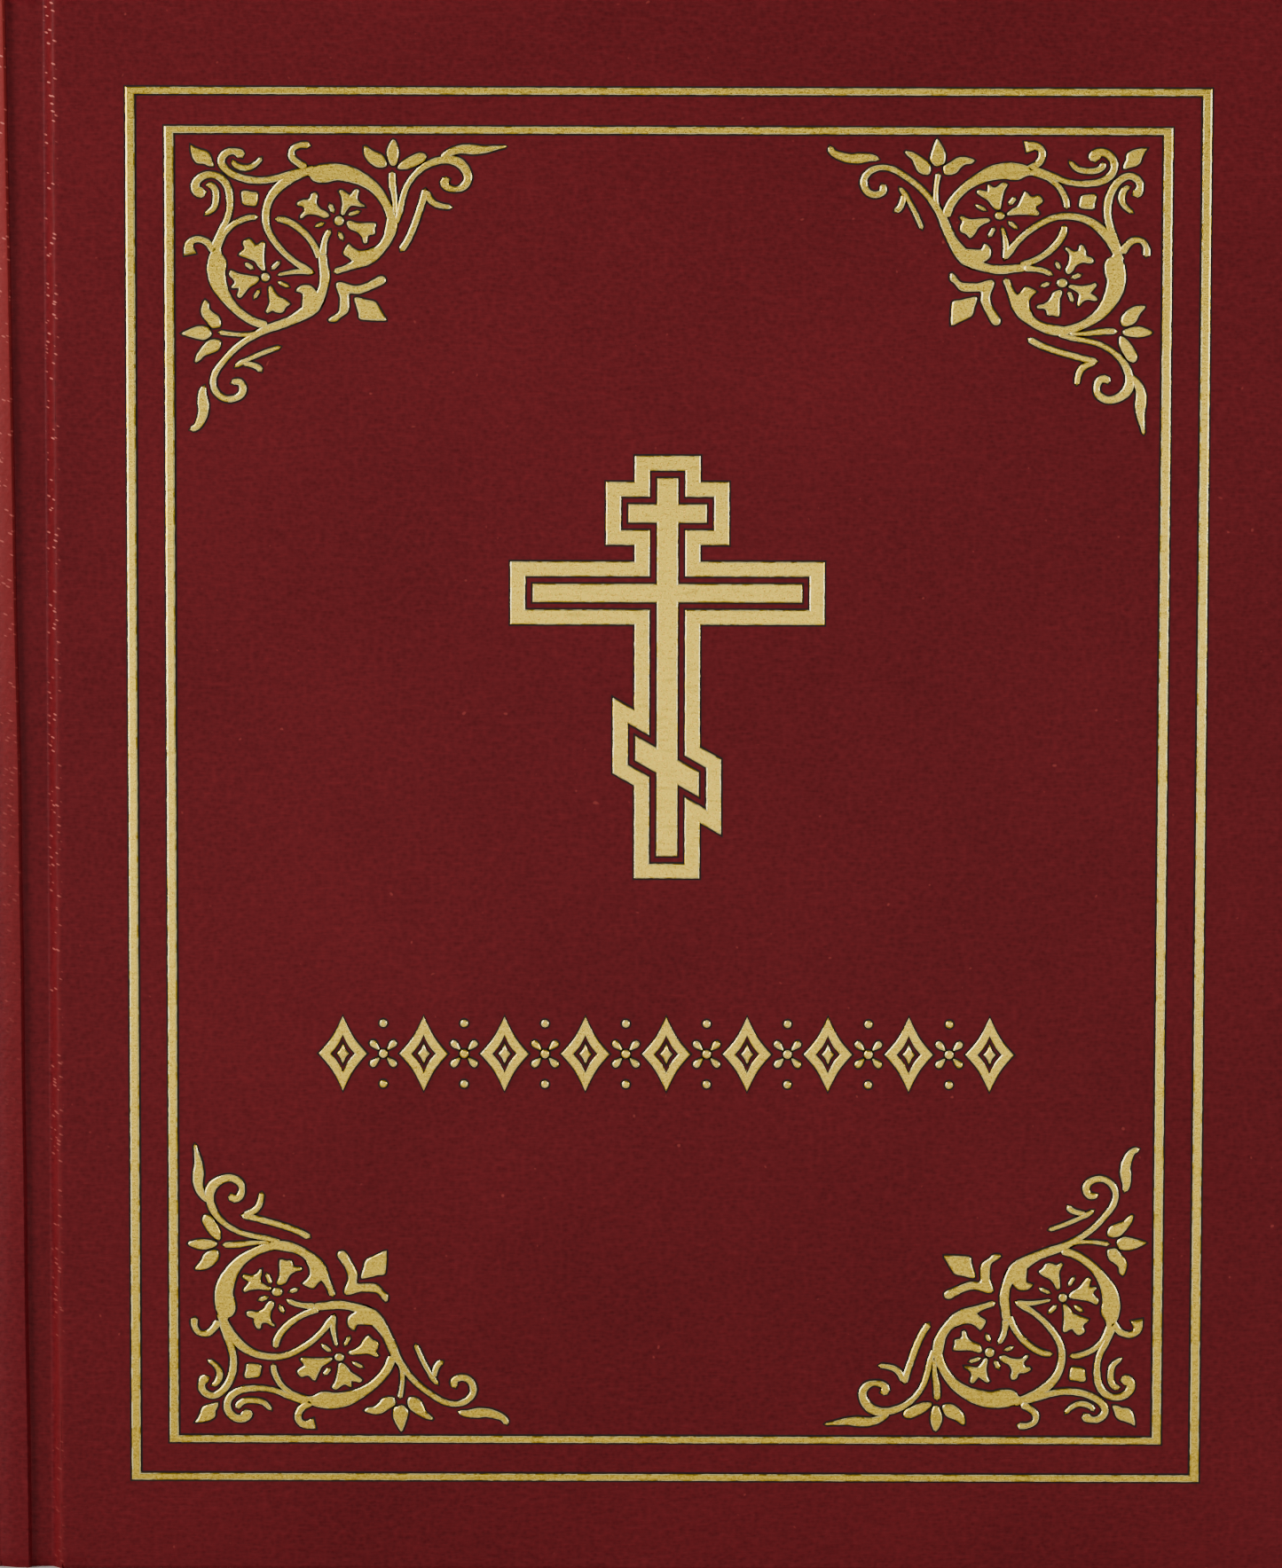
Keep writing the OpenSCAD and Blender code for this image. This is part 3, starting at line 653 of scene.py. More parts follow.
# the corner ornament, in mm from the outer rule's corner: x to the right, then down, then the stroke's width
vines = [
    [(26.2, 25.75, .5), (25, 25.15, .9), (23.6, 24.25, .75), (22, 22.9, .8), (20.6, 21.2, .85), (19.75, 19.6, .9),
     (19.5, 18, 1), (19.8, 16.2, 1.05), (20.6, 14.7, 1.15), (21.9, 13.4, 1.3), (23.5, 12.4, 1.2), (25.2, 11.7, 1.1),
     (26.5, 11.3, 1.2)],
    [(21.15, 26.05, .35), (22.6, 25.75, .5), (24.2, 25.55, .7), (26.2, 25.7, .55)],
    [(24.9, 11.75, .9), (25.8, 11.7, 1.35), (26.6, 11.95, 2.3), (27.7, 11.95, 2.55), (29.5, 11.75, 2.3),
     (31.5, 12.15, 2.1), (33.3, 12.95, 1.7), (34.8, 14.05, 1.4), (36, 15.6, 1.2), (36.8, 17.2, 1.2), (37.1, 18.6, 1.3)],
    [(37.2, 17.4, 1.2), (37, 19.5, 1.55), (36.5, 21, 1.3), (35.6, 22.3, 1.3), (34.4, 23.3, 1.7), (33, 23.95, 1.8),
     (31.8, 24.6, 1.1), (30.6, 25.1, .8), (29, 25.6, .75)],
    [(37.15, 11.6, .8), (37.2, 13.5, .95), (37.5, 15.5, .7), (37.55, 17.6, .5)],
    [(37.6, 19, .7), (38.2, 17.2, .8), (38.6, 15.4, .8), (39.2, 13.7, .75), (40.4, 12, .75), (42, 10.75, .9),
     (43.8, 10.1, 1), (45.3, 10, 1.2), (46.6, 10.5, 1.3), (47.5, 11.6, 1.2), (47.7, 12.8, 1.1), (47, 13.8, 1),
     (45.9, 14.1, .75), (44.7, 13.75, 1), (44.5, 13, 1.2), (45.2, 12.7, .8)],
    [(43.9, 9.9, .6), (45.2, 9, 1), (46.8, 8.55, 1.2), (48.5, 8.6, 1.35), (50, 8.6, 1), (51.7, 8.35, .55),
     (53.1, 8.15, .35)],
    [(25.3, 11.2, 1.2), (24.2, 10.6, .9), (23.2, 9.7, .95), (23.3, 8.6, .8), (24.3, 8.05, .75), (25.3, 8, .95),
     (25.75, 8.1, 1.15)],
    [(25, 11.55, 1), (23, 12.1, 1), (21, 12.65, .9), (19, 12.95, .9), (17, 12.8, .95), (15.4, 12.3, .95),
     (14.2, 11.6, .95), (13.4, 10.6, 1), (13.5, 9.7, 1), (14.3, 9, .95), (15.3, 8.95, .9), (16.1, 9.35, 1.35),
     (16.3, 9.8, 1)],
    [(14.9, 10.1, .55), (15.3, 10.75, .75), (16.2, 11.15, .85), (17.2, 11.15, .75), (18.1, 10.7, .65),
     (18.8, 10, .6), (19, 9.7, .55)],
    [(12.35, 22.6, 1), (12.6, 21.6, 1), (13.3, 20, .9), (14.1, 18.4, .85), (14.5, 16.8, .85), (14.5, 15.2, .95),
     (14.2, 13.8, 1), (13.4, 12.7, 1), (12.2, 12.15, .9), (10.9, 12.3, 1), (9.9, 13.1, 1.1), (9.75, 14.1, 1.3),
     (10.4, 14.6, 1.5), (11.2, 14.5, 1.2)],
    [(11.2, 13.6, .6), (11.9, 13.6, .85), (12.5, 14.3, .9), (12.6, 15.5, .9), (12.3, 16.7, .8), (11.5, 17.4, .6),
     (11, 17.75, .35)],
    [(18.4, 18, .7), (17.2, 18.1, .75), (16, 18.5, .75), (14.9, 19.1, .75), (13.9, 20.1, .75), (13.2, 21.3, .8),
     (12.9, 22.5, .8)],
    [(12.95, 21.6, .8), (12.65, 22.7, 1.35), (12.6, 23.6, 2.1), (12.7, 24.4, 2.6), (12.6, 25.6, 2.5),
     (12.9, 27.2, 2.2), (13.7, 28.8, 1.6), (14.9, 30.4, 1.2), (16.4, 31.7, 1.1), (18, 32.6, 1.1), (19.8, 33.1, 1.1)],
    [(20.85, 18.3, .65), (22, 18.4, .85), (23.3, 18.95, .85), (24.6, 19.9, .85), (25.7, 21.1, .8),
     (26.5, 22.4, .85), (27.1, 23.8, 1.1)],
    [(28.55, 19.7, .6), (27.9, 20.8, .8), (27.6, 22, .8), (27.45, 23.4, 1.2)],
    [(27.4, 23, 1.2), (27.55, 24.6, 1.2), (27.75, 26.2, 1.35), (27.5, 27.8, 1.2), (26.9, 29.3, 1.5),
     (26, 30.5, 1.9), (24.6, 31.5, 1.6), (22.9, 32.4, 1.2), (21, 33.1, 1.2), (19.5, 33.6, 1.1), (18, 34.4, .9),
     (16.5, 35.3, .8), (15, 36.5, .8), (13.7, 37.9, .8), (12.5, 39.5, .85), (12.1, 41, .85), (12.5, 42.3, .9),
     (13.6, 43.2, .85), (14.8, 43.3, .85), (15.9, 42.8, .95), (16.3, 41.9, 1), (15.9, 41, .95), (15.1, 40.9, .8),
     (14.6, 41.1, .6)],
    [(12.9, 34, .7), (14.2, 34.2, .6), (15.8, 34.35, .55), (17.4, 34.3, .55), (18.8, 33.9, .6)],
    [(38.3, 22.7, .9), (39.3, 21.2, .9), (40.2, 19.2, .9), (40.9, 17.2, .9), (41.5, 15.4, .9), (41.8, 14, .9)],
    [(42, 14.2, .6), (42.3, 15.3, .9), (43.1, 16.1, .8), (44.2, 16.45, .7), (45.5, 16.6, .6)],
    [(21.6, 36, .5), (20.4, 36.4, .6), (18.8, 37, .6), (17.2, 37.7, .6), (16, 38.3, .7), (15.1, 38.9, .4)],
    [(16.2, 38.35, .6), (17.4, 38.5, .7), (18.4, 38.9, .8), (18.9, 39.5, .9)],
    [(12.5, 23, 1.2), (12, 22.3, 1), (11.3, 21.5, .9), (10.2, 21.1, .85), (9.3, 21.3, .9), (8.8, 22, 1.2),
     (8.95, 23.2, 1.75)],
    [(10.9, 41.4, .6), (10.6, 42.5, 1.1), (10.7, 43.8, 1.5), (10.75, 45, 1.4), (10.4, 46.2, 1.2), (9.8, 47.2, .9),
     (8.8, 47.6, .6)],
    # rods of the two flowers
    [(28.4, 16.1, .65), (29, 17.4, .65)], [(31, 17.7, .5), (32.7, 17.15, .5)],
    [(26.4, 19.3, .5), (27.7, 18.8, .5)], [(29.7, 20, .6), (30.3, 21.2, .6)],
    [(16.6, 24.4, .6), (17.8, 25.2, .6)], [(20.3, 25.3, .55), (21.5, 24.1, .55)],
    [(21.2, 27, .5), (22.8, 27.7, .5)], [(18.7, 28, .5), (17.8, 29.4, .5)],
]
squareEnd = 22      # the hook that is cut off square
leaves = [
    [(31.1, 21.7), (31.5, 22.1), (32.4, 22.6), (33.5, 22.6), (34.8, 22.2), (34.5, 23.4), (32.5, 24.4), (31.8, 24.3),
     (31.2, 23.7), (30.35, 23.1), (30.5, 22.5)],
    [(9.1, 8.05), (9.7, 8.4), (10.6, 8.7), (11.3, 8.9), (11.8, 9.4), (12, 10.1), (12.3, 10.9), (11.7, 10.95),
     (10.9, 10.65), (10.1, 10.6), (9.6, 10.2), (9.2, 9.3)],
    [(16.1, 14.5), (16.6, 14.35), (17.5, 14.5), (18.3, 14.6), (18.4, 15.2), (18.3, 16.1), (18, 16.45), (17.2, 16.4),
     (16.4, 16.2), (16.2, 15.5)],
    [(23.75, 28.3), (24, 27.8), (24.7, 27.45), (25.6, 27.45), (26.2, 27.85), (26.6, 28.35), (27.2, 28.6),
     (27.6, 29.6), (26.6, 30.8), (25, 31.8), (23.6, 31.8), (24.4, 30.9), (24.6, 29.8), (24.6, 28.6)],
    [(11, 29.5), (11.5, 30), (11.6, 30.7), (12.2, 31.3), (12.9, 31.8), (13.2, 32.5), (13.2, 33.2), (12.9, 33.3),
     (12.4, 33.4), (11.9, 33.4), (11.3, 32.6), (10.6, 31.7), (10.45, 30.9), (10.7, 30)],
    [(7.7, 34.2), (8.8, 33.6), (10, 33.2), (11.3, 33.25), (11.7, 33.7), (11.9, 34.4), (11.4, 34.8), (10.7, 35.1),
     (9.4, 34.8), (8.3, 34.5)],
    [(13, 35.1), (13.2, 35.6), (12.9, 36.4), (12, 36.9), (10.9, 37.3), (10.3, 37.9), (9.6, 38.2), (9.8, 37.2),
     (10.5, 36.2), (11.3, 35.3), (12.2, 35)],
    [(33.2, 8.2), (33.6, 8.2), (34.5, 8.8), (35.7, 9.3), (36.2, 10), (36.4, 10.8), (35.9, 11.1), (34.9, 11),
     (34, 10.4), (33.3, 9.4)],
    [(37.3, 7.2), (37.8, 7.8), (38.05, 9), (37.9, 10.2), (37.6, 10.8), (37, 10.8), (36.6, 10), (36.4, 9), (36.7, 8)],
    [(37.9, 11.2), (38.4, 10.4), (39.3, 9.8), (40.5, 9.2), (41.3, 9.1), (41.9, 9.4), (41.7, 10.1), (40.8, 10.7),
     (39.6, 11.2), (38.7, 11.35)],
    [(29.3, 27.3), (29.8, 27), (30.6, 27.15), (31.8, 27.5), (33.2, 27.3), (34.6, 26.6), (35.5, 26.15), (36.1, 26.3),
     (36.2, 27), (35.2, 27.6), (33.8, 28.2), (32.5, 28.65), (31.2, 28.6), (31.1, 29.4), (31.1, 30.7), (30.7, 31.4),
     (29.8, 32), (29.3, 32.5), (28.2, 32.4), (28.6, 31.9), (29.6, 31.2), (29.8, 30.2), (29.8, 29), (29.5, 28.2)],
    [(31.9, 29.2), (32.5, 29.15), (33.4, 29.4), (34.7, 29.7), (35.2, 30.3), (36.1, 31.8), (36.3, 32.3),
     (35.3, 32.35), (33.8, 32.3), (32.6, 32.1), (32.4, 31.2), (32.1, 30.2)],
    # petals of the upper flower
    [(28.4, 17.8), (27.7, 18.1), (26.6, 17.7), (25.6, 17.6), (25, 17.8), (24.5, 18.2), (24.3, 17.9), (24.9, 17.1),
     (24.7, 16.5), (24, 16.4), (23.9, 16), (24.8, 15.6), (25.6, 15.5), (25.9, 14.8), (26.5, 14.6), (26.75, 15.1),
     (26.6, 16), (27.1, 16.8), (27.9, 17.2)],
    [(30, 17.5), (30.2, 16.2), (30, 15), (29.7, 14.4), (30.2, 14.25), (31, 14.8), (31.3, 14.95), (31.8, 14.3),
     (32.3, 14.1), (32.5, 14.4), (32.3, 15.3), (32.6, 15.9), (33.4, 16.5), (32.4, 16.5), (31.4, 16.4), (30.8, 17.1),
     (30.4, 17.7)],
    [(30.8, 18.7), (31.3, 18.5), (32.4, 18.8), (34.6, 18.8), (34.9, 19.1), (34.7, 19.7), (34.7, 20.3), (33.9, 20.5),
     (33.7, 20.9), (33.7, 21.5), (33.2, 21.6), (32.9, 20.7), (32.2, 20), (31.2, 19.6)],
    # petals of the lower flower
    [(19.4, 25.4), (18.9, 25.3), (18.4, 24.8), (18, 24.2), (17.2, 23.8), (15.8, 23.3), (16, 22.9), (16.5, 22.5),
     (16.5, 22.1), (16.3, 21.6), (16.8, 21.1), (17.3, 21.05), (17.8, 21.5), (18.1, 21.9), (18.6, 21.7), (19, 21.4),
     (19.4, 21.7), (19.3, 22.8), (19.3, 24.3)],
    [(18.4, 26.3), (17, 26.1), (15.6, 25.8), (14.7, 25.4), (14.4, 25.8), (14.5, 26.2), (15.1, 26.8), (15.1, 27.3),
     (14.6, 27.8), (15, 27.9), (15.7, 27.9), (15.6, 28.5), (15.5, 29), (16, 29.2), (16.6, 28.5), (17.2, 27.8),
     (18, 27.3), (18.5, 26.8)],
    [(19.9, 27.7), (20.3, 27.6), (20.7, 28.3), (21.3, 29), (22.1, 29.4), (22.9, 30), (22.3, 30.5), (22, 31.1),
     (21.5, 31.3), (20.9, 31.2), (20.4, 31), (19.8, 31.3), (19.5, 31.1), (20, 30), (19.9, 28.8)],
]
flowerHearts = [(29.75, 18.5, 0.65), (19.45, 26.35, 0.6)]


def roundOutline(x, y, radius, count=12):
    return [(x + radius * math.cos(2 * math.pi * k / count), y + radius * math.sin(2 * math.pi * k / count))
            for k in range(count)]


def cornerOrnament(grow):
    parts = [stampLine(line, ruleCorner, grow, i == squareEnd) for i, line in enumerate(vines)]
    parts += [stampShape(shape, ruleCorner, grow) for shape in leaves]
    parts += [stampShape(roundOutline(x, y, radius), ruleCorner, grow, soft=False) for x, y, radius in flowerHearts]
    return joined(parts, "ornament")


def turnedCopy(piece, name, corner, degrees, wide, tall):
    copy = piece.copy()
    copy.data = piece.data.copy()
    bpy.context.scene.collection.objects.link(copy)
    first = Vector((ruleCorner[0], 0, ruleCorner[1]))
    copy.data.transform(Matrix.Translation((corner[0], 0, corner[1])) @ Matrix.Diagonal((wide, 1, tall, 1))
                        @ Matrix.Rotation(math.radians(degrees), 4, "Y") @ Matrix.Translation(-first))
    return named(copy, name)


goldCorner = cornerOrnament(0.0)
darkCorner = cornerOrnament(stamp["edge"] / mm)
drawnOut = (1.118, 0.905)      # keeps the long tail of the turned motif level
cornerPlaces = {
    "TopLeft": ((ruleLow.x, ruleHigh.z), 0, 1, 1), "TopRight": ((ruleHigh.x, ruleHigh.z), 90, *drawnOut),
    "BottomRight": ((ruleHigh.x, ruleLow.z), 180, 1, 1), "BottomLeft": ((ruleLow.x, ruleLow.z), 270, *drawnOut),
}
for label, place in cornerPlaces.items():
    foilPiece(turnedCopy(goldCorner, "foilCorner" + label, *place), "foil_corner_ornaments")
    edgePiece(turnedCopy(darkCorner, "foilCornerEdge" + label, *place))
for spare in (goldCorner, darkCorner):
    bpy.data.objects.remove(spare)
print("corner ornaments stamped")

# the band under the cross: open lozenges with a small one inside, and rosettes between beads
titleLow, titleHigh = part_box("foil_title_band")
title = {"count": 9, "height": 10.6, "width": 6.8, "stroke": 1.7, "heart": (1.7, 3.0, 0.18), "margin": 6.4,
         "bead": 0.62, "small": 0.55, "smallDrop": 4.3, "petal": (0.75, 2.5, 0.95)}
titleStep = ((titleHigh.x - titleLow.x) / mm - title["margin"]) / (title["count"] - 1)
titleMiddle = ((titleLow.x + titleHigh.x) / 2, (titleLow.z + titleHigh.z) / 2)


def lozenge(x, wide, tall, pull=0.12):
    # four corners joined by sides that bow a little inwards
    line = []
    for (ax, ay), (bx, by) in sides([(0, -tall / 2), (wide / 2, 0), (0, tall / 2), (-wide / 2, 0)]):
        for k in range(8):
            t = k / 8
            bow = 1 - pull * math.sin(math.pi * t)
            line.append((x + (ax + (bx - ax) * t) * bow, (ay + (by - ay) * t) * bow))
    return line


def petalOutline(x, angle):
    near, far, wide = title["petal"]
    side = [(near + 0.5, wide * 0.28), ((near + far) / 2 + 0.2, wide * 0.5), (far - 0.15, wide * 0.42)]
    c, s = math.cos(angle), math.sin(angle)
    return [(x + c * a - s * b, s * a + c * b)
            for a, b in [(near, 0), *side, (far, 0), *[(a, -b) for a, b in side[::-1]]]]


def titleForm(shape, soft=False):
    titleGold.append(stampShape(shape, titleMiddle, soft=soft))
    titleDark.append(stampShape(shape, titleMiddle, grow=edge, soft=soft))


titleGold, titleDark = [], []
edge = stamp["edge"] / mm
wide, tall = title["width"], title["height"]
share = 1 - 2 * title["stroke"] / wide
for i in range(title["count"]):
    x = (i - (title["count"] - 1) / 2) * titleStep
    inner = lozenge(x, wide * share, tall * share)
    titleGold.append(stampFrame("lozenge", lozenge(x, wide, tall), inner, titleMiddle, title["stroke"]))
    inner = lozenge(x, wide * share - 2.4 * edge, tall * share - 2.4 * edge)
    titleDark.append(stampFrame("lozengeEdge", lozenge(x, wide + 3 * edge, tall + 3 * edge), inner, titleMiddle))
    between, beads = x + titleStep / 2, []
    if i < title["count"] - 1:
        beads = [(0, title["bead"]), (-title["smallDrop"], title["small"]), (title["smallDrop"], title["small"])]
        for k in range(4):
            titleForm(petalOutline(between, math.pi / 4 + k * math.pi / 2), soft=True)
    titleForm(lozenge(x, *title["heart"]))
    for down, radius in beads:
        titleForm(roundOutline(between, down, radius))
foilPiece(joined(titleGold, "foilTitleBand"), "foil_title_band")
edgePiece(joined(titleDark, "foilTitleBandEdge"))
print("title band stamped")


# leather over the joints, from the spine over the shoulder and the groove to the board

joint = {
    "spineX": 23.51, "caseRadius": 29.81, "lap": 2.2,        # mm, the spine's circle and the overlap on it
    "lapEnd": math.radians(28.4), "lift": 0.03, "crest": 15.4,
    "crestAt": (1.75, 0.9, -0.6),       # where the crest ends at the tail, the middle and the head
    "wall": 0.45, "floor": 14.35, "face": 15.75, "riseFrom": 4.8, "riseTo": 6.75,
    "ridge": (5.9, 0.75, 0.1), "swell": 0.05,      # dents along the hinge edge, and slow waves in the groove
    "tuck": (0.35, 0.5), "thickness": 0.5, "rows": 223,
}


def eased(s):
    return s * s * (3 - 2 * s)


def jointProfile(height):
    # (x, distance from the middle of the book) along the outer face, in mm
    t = height / bookHeight
    tail, middle, head = joint["crestAt"]
    crest = tail + (middle - tail) * min(1, 2 * t) + (head - middle) * max(0, 2 * t - 1)
    crest += 0.12 * jitter(height * 40, 3.1)
    line = []
    for k in range(5):
        a = joint["lapEnd"] - joint["lap"] / joint["caseRadius"] * (1 - k / 4)
        radius = joint["caseRadius"] + joint["lift"] * k / 4
        line.append((joint["spineX"] - radius * math.cos(a), radius * math.sin(a)))
    first, low = line[-1]
    for k in range(1, 10):      # over the shoulder, steep at the spine and nearly level at the crest
        t = k / 9
        climb = 0.5 * t + 0.5 * (1 - (1 - t) ** 3)
        line.append((first + (crest - 0.1 - first) * t, low + (joint["crest"] - low) * climb))
    top, floor = line[-1][1], joint["floor"]
    for k in range(9):      # an S from the crest to the floor of the groove
        line.append((crest + joint["wall"] * (k / 8 - 0.1), top - (top - floor) * eased(k / 8)))
    first, floorEnd = line[-1][0], joint["riseFrom"]
    for k in (1, 2, 3):
        line.append((first + (floorEnd - first) * k / 4, floor + 0.07 * math.sin(math.pi * k / 4)))
    climb = joint["face"] + joint["lift"] - floor
    for k in range(13):
        line.append((floorEnd + (joint["riseTo"] - floorEnd) * k / 12, floor + climb * eased(k / 12) ** 0.9))
    return line + [(x, joint["face"] + lift) for x, lift in ((7.3, joint["lift"]), (8.6, 0.02), (10.0, 0.005))]


def jointLeather(name, side, node):
    # side is -1 at the front and 1 at the back
    rows = []
    ridgeX, ridgeWide, ridgeHigh = joint["ridge"]
    tuckDeep, tuckLong = joint["tuck"]
    for height in spread(0.0, bookHeight, joint["rows"]):
        z = height / mm
        end = min(height, bookHeight - height) / mm
        tuck = tuckDeep * max(0.0, 1 - end / tuckLong) ** 2      # the ends are rolled in
        row = []
        for x, away in jointProfile(height):
            ridge = math.exp(-((x - ridgeX) / ridgeWide) ** 2)
            dents = jitter(x * 1.1 - z * 0.25, z * 0.62, side) + 0.6 * jitter(x * 2.3 - z * 0.5, z * 1.7, 4)
            swell = ridge * ridgeHigh * dents + joint["swell"] * jitter(x * 0.5, z * 0.12, 9 + side) * (x < 7)
            row.append((shoulderX + x * mm, midY + side * (away + swell - tuck) * mm, height))
        rows.append(row)
    piece = sheetOf(name, rows)
    if piece.data.polygons[0].normal.x > 0:
        piece.data.flip_normals()
    thicken(piece, joint["thickness"] * mm, -1)
    smooth(piece, 60)
    dress(piece, leather)
    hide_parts(node)
    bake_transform(piece)


jointLeather("frontJointLeather", -1, "front_joint_leather")
jointLeather("backJointLeather", 1, "back_joint_leather")
print("joint leather made")

# the boards' leather and the spine keep the model's shape, with their edges rounded
rounding = {"front_leather": 0.55, "back_leather": 0.55, "spine_leather": 0.22}
for node, radius in rounding.items():
    piece = nodes[node]
    weld = piece.modifiers.new("weld", "WELD")
    weld.merge_threshold = 1e-6
    soft = piece.modifiers.new("softEdge", "BEVEL")
    soft.width = radius * mm
    soft.segments = 3
    soft.limit_method = "ANGLE"
    soft.angle_limit = math.radians(50)


# endpapers and mull across the joints

bend = {"start": coverLow.x - 5.2 * mm, "end": coverLow.x - 0.1 * mm, "cuts": 11, "pages": 20 * mm}
for side in ("front", "back"):
    for node, label, material, slot in ((side + "_endpaper_fold", side + "EndpaperFold", endPaper, "endpaper"),
                                        (side + "_mull_joint", side + "MullJoint", mullCloth, "mull_cloth")):
        piece = cutAcross(copyOf(node, label), spread(bend["start"], bend["end"], bend["cuts"]))
        dress(piece, material)
        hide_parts(node)
        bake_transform(piece)
    node = side + "_flyleaf"
    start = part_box(node)[0].x
    piece = cutAcross(copyOf(node, side + "Flyleaf"), spread(start + 0.5 * mm, start + bend["pages"], 18))
    dress(piece, endPaper)
    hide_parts(node)
    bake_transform(piece)
print("endpapers and mull made")


# the book block: each signature is folded sheets; the first ones turn with the cover

block = {"signatures": 14, "turning": 6, "sheets": 8, "pitch": 0.109375, "leaf": 0.098, "uneven": 0.09}
foldLow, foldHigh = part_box("signature_01_fold")
turnFrom = foldHigh.x
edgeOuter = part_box("signature_01_leaves")[1].x
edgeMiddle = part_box("signature_07")[1].x
outerY = abs((foldLow.y + foldHigh.y) / 2 - midY)


def foreEdge(y):
    return edgeMiddle + (edgeOuter - edgeMiddle) * min(1.0, abs(y - midY) / outerY) ** 2


def signature(name, foldNode, turning):
    low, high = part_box(foldNode)
    middle, half = (low.y + high.y) / 2, (high.y - low.y) / 2
    pitch = half / block["sheets"]
    uneven = block["uneven"] * mm
    inside = [turnFrom + bend["pages"] * s / 13 for s in range(14)] if turning else [low.x + bend["pages"]]
    parts = []
    for k in range(block["sheets"]):
        away = half - pitch * (k + 0.5)
        near, far = [[(x, y) for x in inside] + [(foreEdge(y) + uneven * jitter(y * 9000, 1.3), y)]
                     for y in (middle - away, middle + away)]
        path = near[::-1]
        for step in range(1, 6):      # round the fold
            a = math.pi * step / 6
            path.append((low.x + pitch * 0.5 + away - away * math.sin(a) + pitch * k, middle - away * math.cos(a)))
        path += far
        bottom = low.z + uneven * (0.5 + 0.5 * jitter(middle * 7000, k, 2))
        top = high.z - uneven * (0.5 + 0.5 * jitter(middle * 7000, k, 8))
        sheet = sheetOf("sheet", [[(x, y, z) for x, y in path] for z in (bottom, top)])
        thicken(sheet, block["leaf"] * pitch / block["pitch"], 0)
        parts.append(sheet)
    piece = joined(parts, name)
    dress(piece, pageEdges)
    return piece


for number in range(1, block["signatures"] + 1):
    label = "signature%02d" % number
    node = "signature_%02d" % number
    if number <= block["turning"]:
        piece = signature(label, node + "_fold", True)
        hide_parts(node + "_fold", node + "_leaves")
        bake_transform(piece)
    else:
        piece = signature(label, node, False)
        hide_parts(node)
        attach(piece, "text_block")
print("book block made")


# headbands: a rolled bead wrapped in two colours of silk

bandRoll = {"rings": 108, "sides": 12, "radius": 1.12, "wrap": 3, "inset": 1.0, "span": 0.985, "wraps": (1.03, 0.96)}


def headband(name, node, top):
    low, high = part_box(node)
    inset = bandRoll["inset"] * mm
    beadZ = (high.z - inset) if top else (low.z + inset)
    centre = Vector((shoulderX + joint["spineX"] * mm, midY, beadZ))
    radius = centre.x - low.x - inset
    half = math.asin(min(1, (high.y - midY) / radius)) * bandRoll["span"]
    deselect()
    bpy.ops.mesh.primitive_circle_add(vertices=bandRoll["sides"], radius=bandRoll["radius"] * mm)
    piece = named(bpy.context.object, name)
    piece.data.transform(Matrix.Translation(centre) @ Matrix.Rotation(half, 4, "Z")
                         @ Matrix.Translation((-radius, 0, 0)) @ Matrix.Rotation(math.pi / 2, 4, "X"))
    edit(piece, "EDGE")
    bpy.ops.mesh.spin(steps=bandRoll["rings"], angle=2 * half, center=centre, axis=(0, 0, 1))
    bpy.ops.mesh.select_all(action="DESELECT")
    bpy.ops.mesh.select_non_manifold()
    bpy.ops.mesh.edge_face_add()
    bpy.ops.mesh.select_all(action="SELECT")
    bpy.ops.mesh.normals_make_consistent(inside=False)
    leave()
    turn = 2 * half / bandRoll["rings"]

    def around(point):
        return math.atan2(point.y - centre.y, centre.x - point.x)
    for vertex in piece.data.vertices:      # the wraps of thread stand proud in turn
        angle = around(vertex.co)
        ring = round((angle + half) / turn)
        heart = centre + Vector((-math.cos(angle), math.sin(angle), 0)) * radius
        vertex.co = heart + (vertex.co - heart) * bandRoll["wraps"][ring % 2]
    piece.data.materials.append(redSilk)
    piece.data.materials.append(creamSilk)
    for face in piece.data.polygons:
        face.material_index = int((around(face.center) + half) / turn / bandRoll["wrap"]) % 2
    smooth(piece, 60)
    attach(piece, "text_block")


headband("headbandSilk", "headband", True)
headband("tailbandSilk", "tailband", False)
print("headbands made")


# finishes of the model's own nodes: the first word that a node's name holds gives its finish

nodeFinish = {
    "foil": foil, "leather": leather, "board": greyBoard, "inlay": spineCard, "mull": mullCloth, "thread": threadLook,
    "glue": glueLook, "lining": liningPaper, "band": bandCloth, "signature": pageEdges, "": endPaper,
}
for node, piece in nodes.items():
    piece.data.materials.clear()
    piece.data.materials.append(next(finish for word, finish in nodeFinish.items() if word in node))


# floor, light and camera

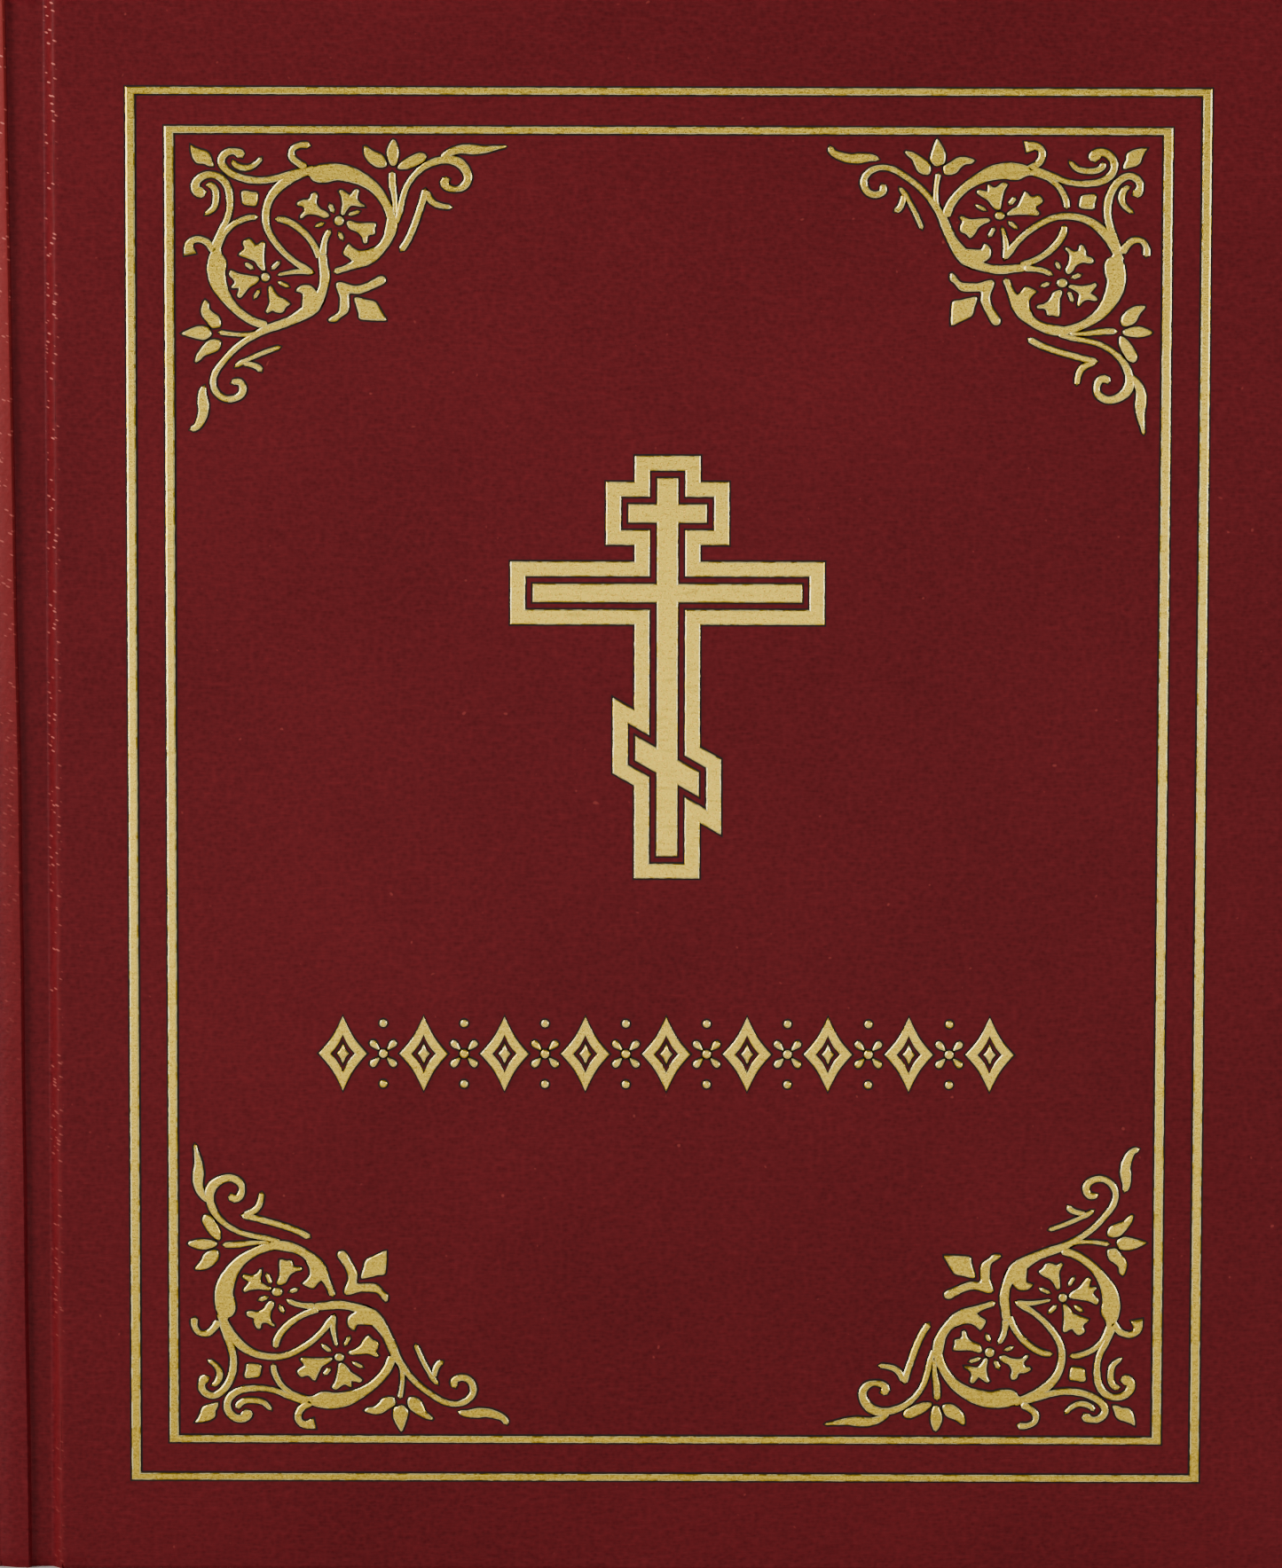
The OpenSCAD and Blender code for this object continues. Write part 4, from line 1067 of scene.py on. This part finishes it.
studio = {
    "lens": 106.05, "distance": 0.649, "elevation": 3.69, "azimuth": 0.0565, "roll": -0.127,
    "target": (1.26 * mm, -15.875 * mm, 112.0 * mm),
    "world": (0.85, 0.86, 0.88), "worldStrength": 0.3,
}
deselect()
bpy.ops.mesh.primitive_grid_add(x_subdivisions=8, y_subdivisions=8, size=6)
floor = named(bpy.context.object, "floor")
floor.data.materials.append(makeMatt("paleFloor", linear(224, 222, 218), linear(214, 212, 208), 30, 0.7, 0.0001))

lights = {      # place, size, power and colour
    "keyLight": ((-0.95, -0.6, 0.6), (0.5, 1.15), 14, (1.0, 0.98, 0.95)),
    "frontLight": ((0.05, -1.45, 0.065), (1.4, 0.11), 3.3, (1.0, 0.99, 0.97)),
    "rightLight": ((1.1, -0.5, 0.3), (0.4, 0.4), 3.4, (1.0, 1.0, 1.0)),
    "backLight": ((0.6, 1.2, 0.9), (1.2, 1.0), 14, (0.97, 0.98, 1.0)),
}
for name, (place, size, power, colour) in lights.items():
    bpy.ops.object.light_add(type="AREA", location=place)
    light = bpy.context.object
    light.name = name
    light.data.shape = "RECTANGLE"
    light.data.size, light.data.size_y = size
    light.data.energy = power
    light.data.color = colour
    light.rotation_euler = (Vector((0, 0, bookHeight / 2)) - Vector(place)).to_track_quat("-Z", "Y").to_euler()

world = bpy.data.worlds.new("studio")
world.use_nodes = True
sky = world.node_tree.nodes["Background"].inputs
sky["Color"].default_value = (*studio["world"], 1)
sky["Strength"].default_value = studio["worldStrength"]
bpy.context.scene.world = world

elevation, azimuth = math.radians(studio["elevation"]), math.radians(studio["azimuth"])
back = Vector((math.sin(azimuth) * math.cos(elevation), -math.cos(azimuth) * math.cos(elevation), math.sin(elevation)))
bpy.ops.object.camera_add(location=Vector(studio["target"]) + back * studio["distance"])
camera = bpy.context.object
camera.data.lens = studio["lens"]
camera.data.sensor_width = 36
camera.data.clip_start = 0.01
camera.rotation_mode = "QUATERNION"
facing = (-back).to_track_quat("-Z", "Y")
camera.rotation_quaternion = Matrix.Rotation(math.radians(studio["roll"]), 3, -back).to_quaternion() @ facing
bpy.context.scene.camera = camera
print("scene set")
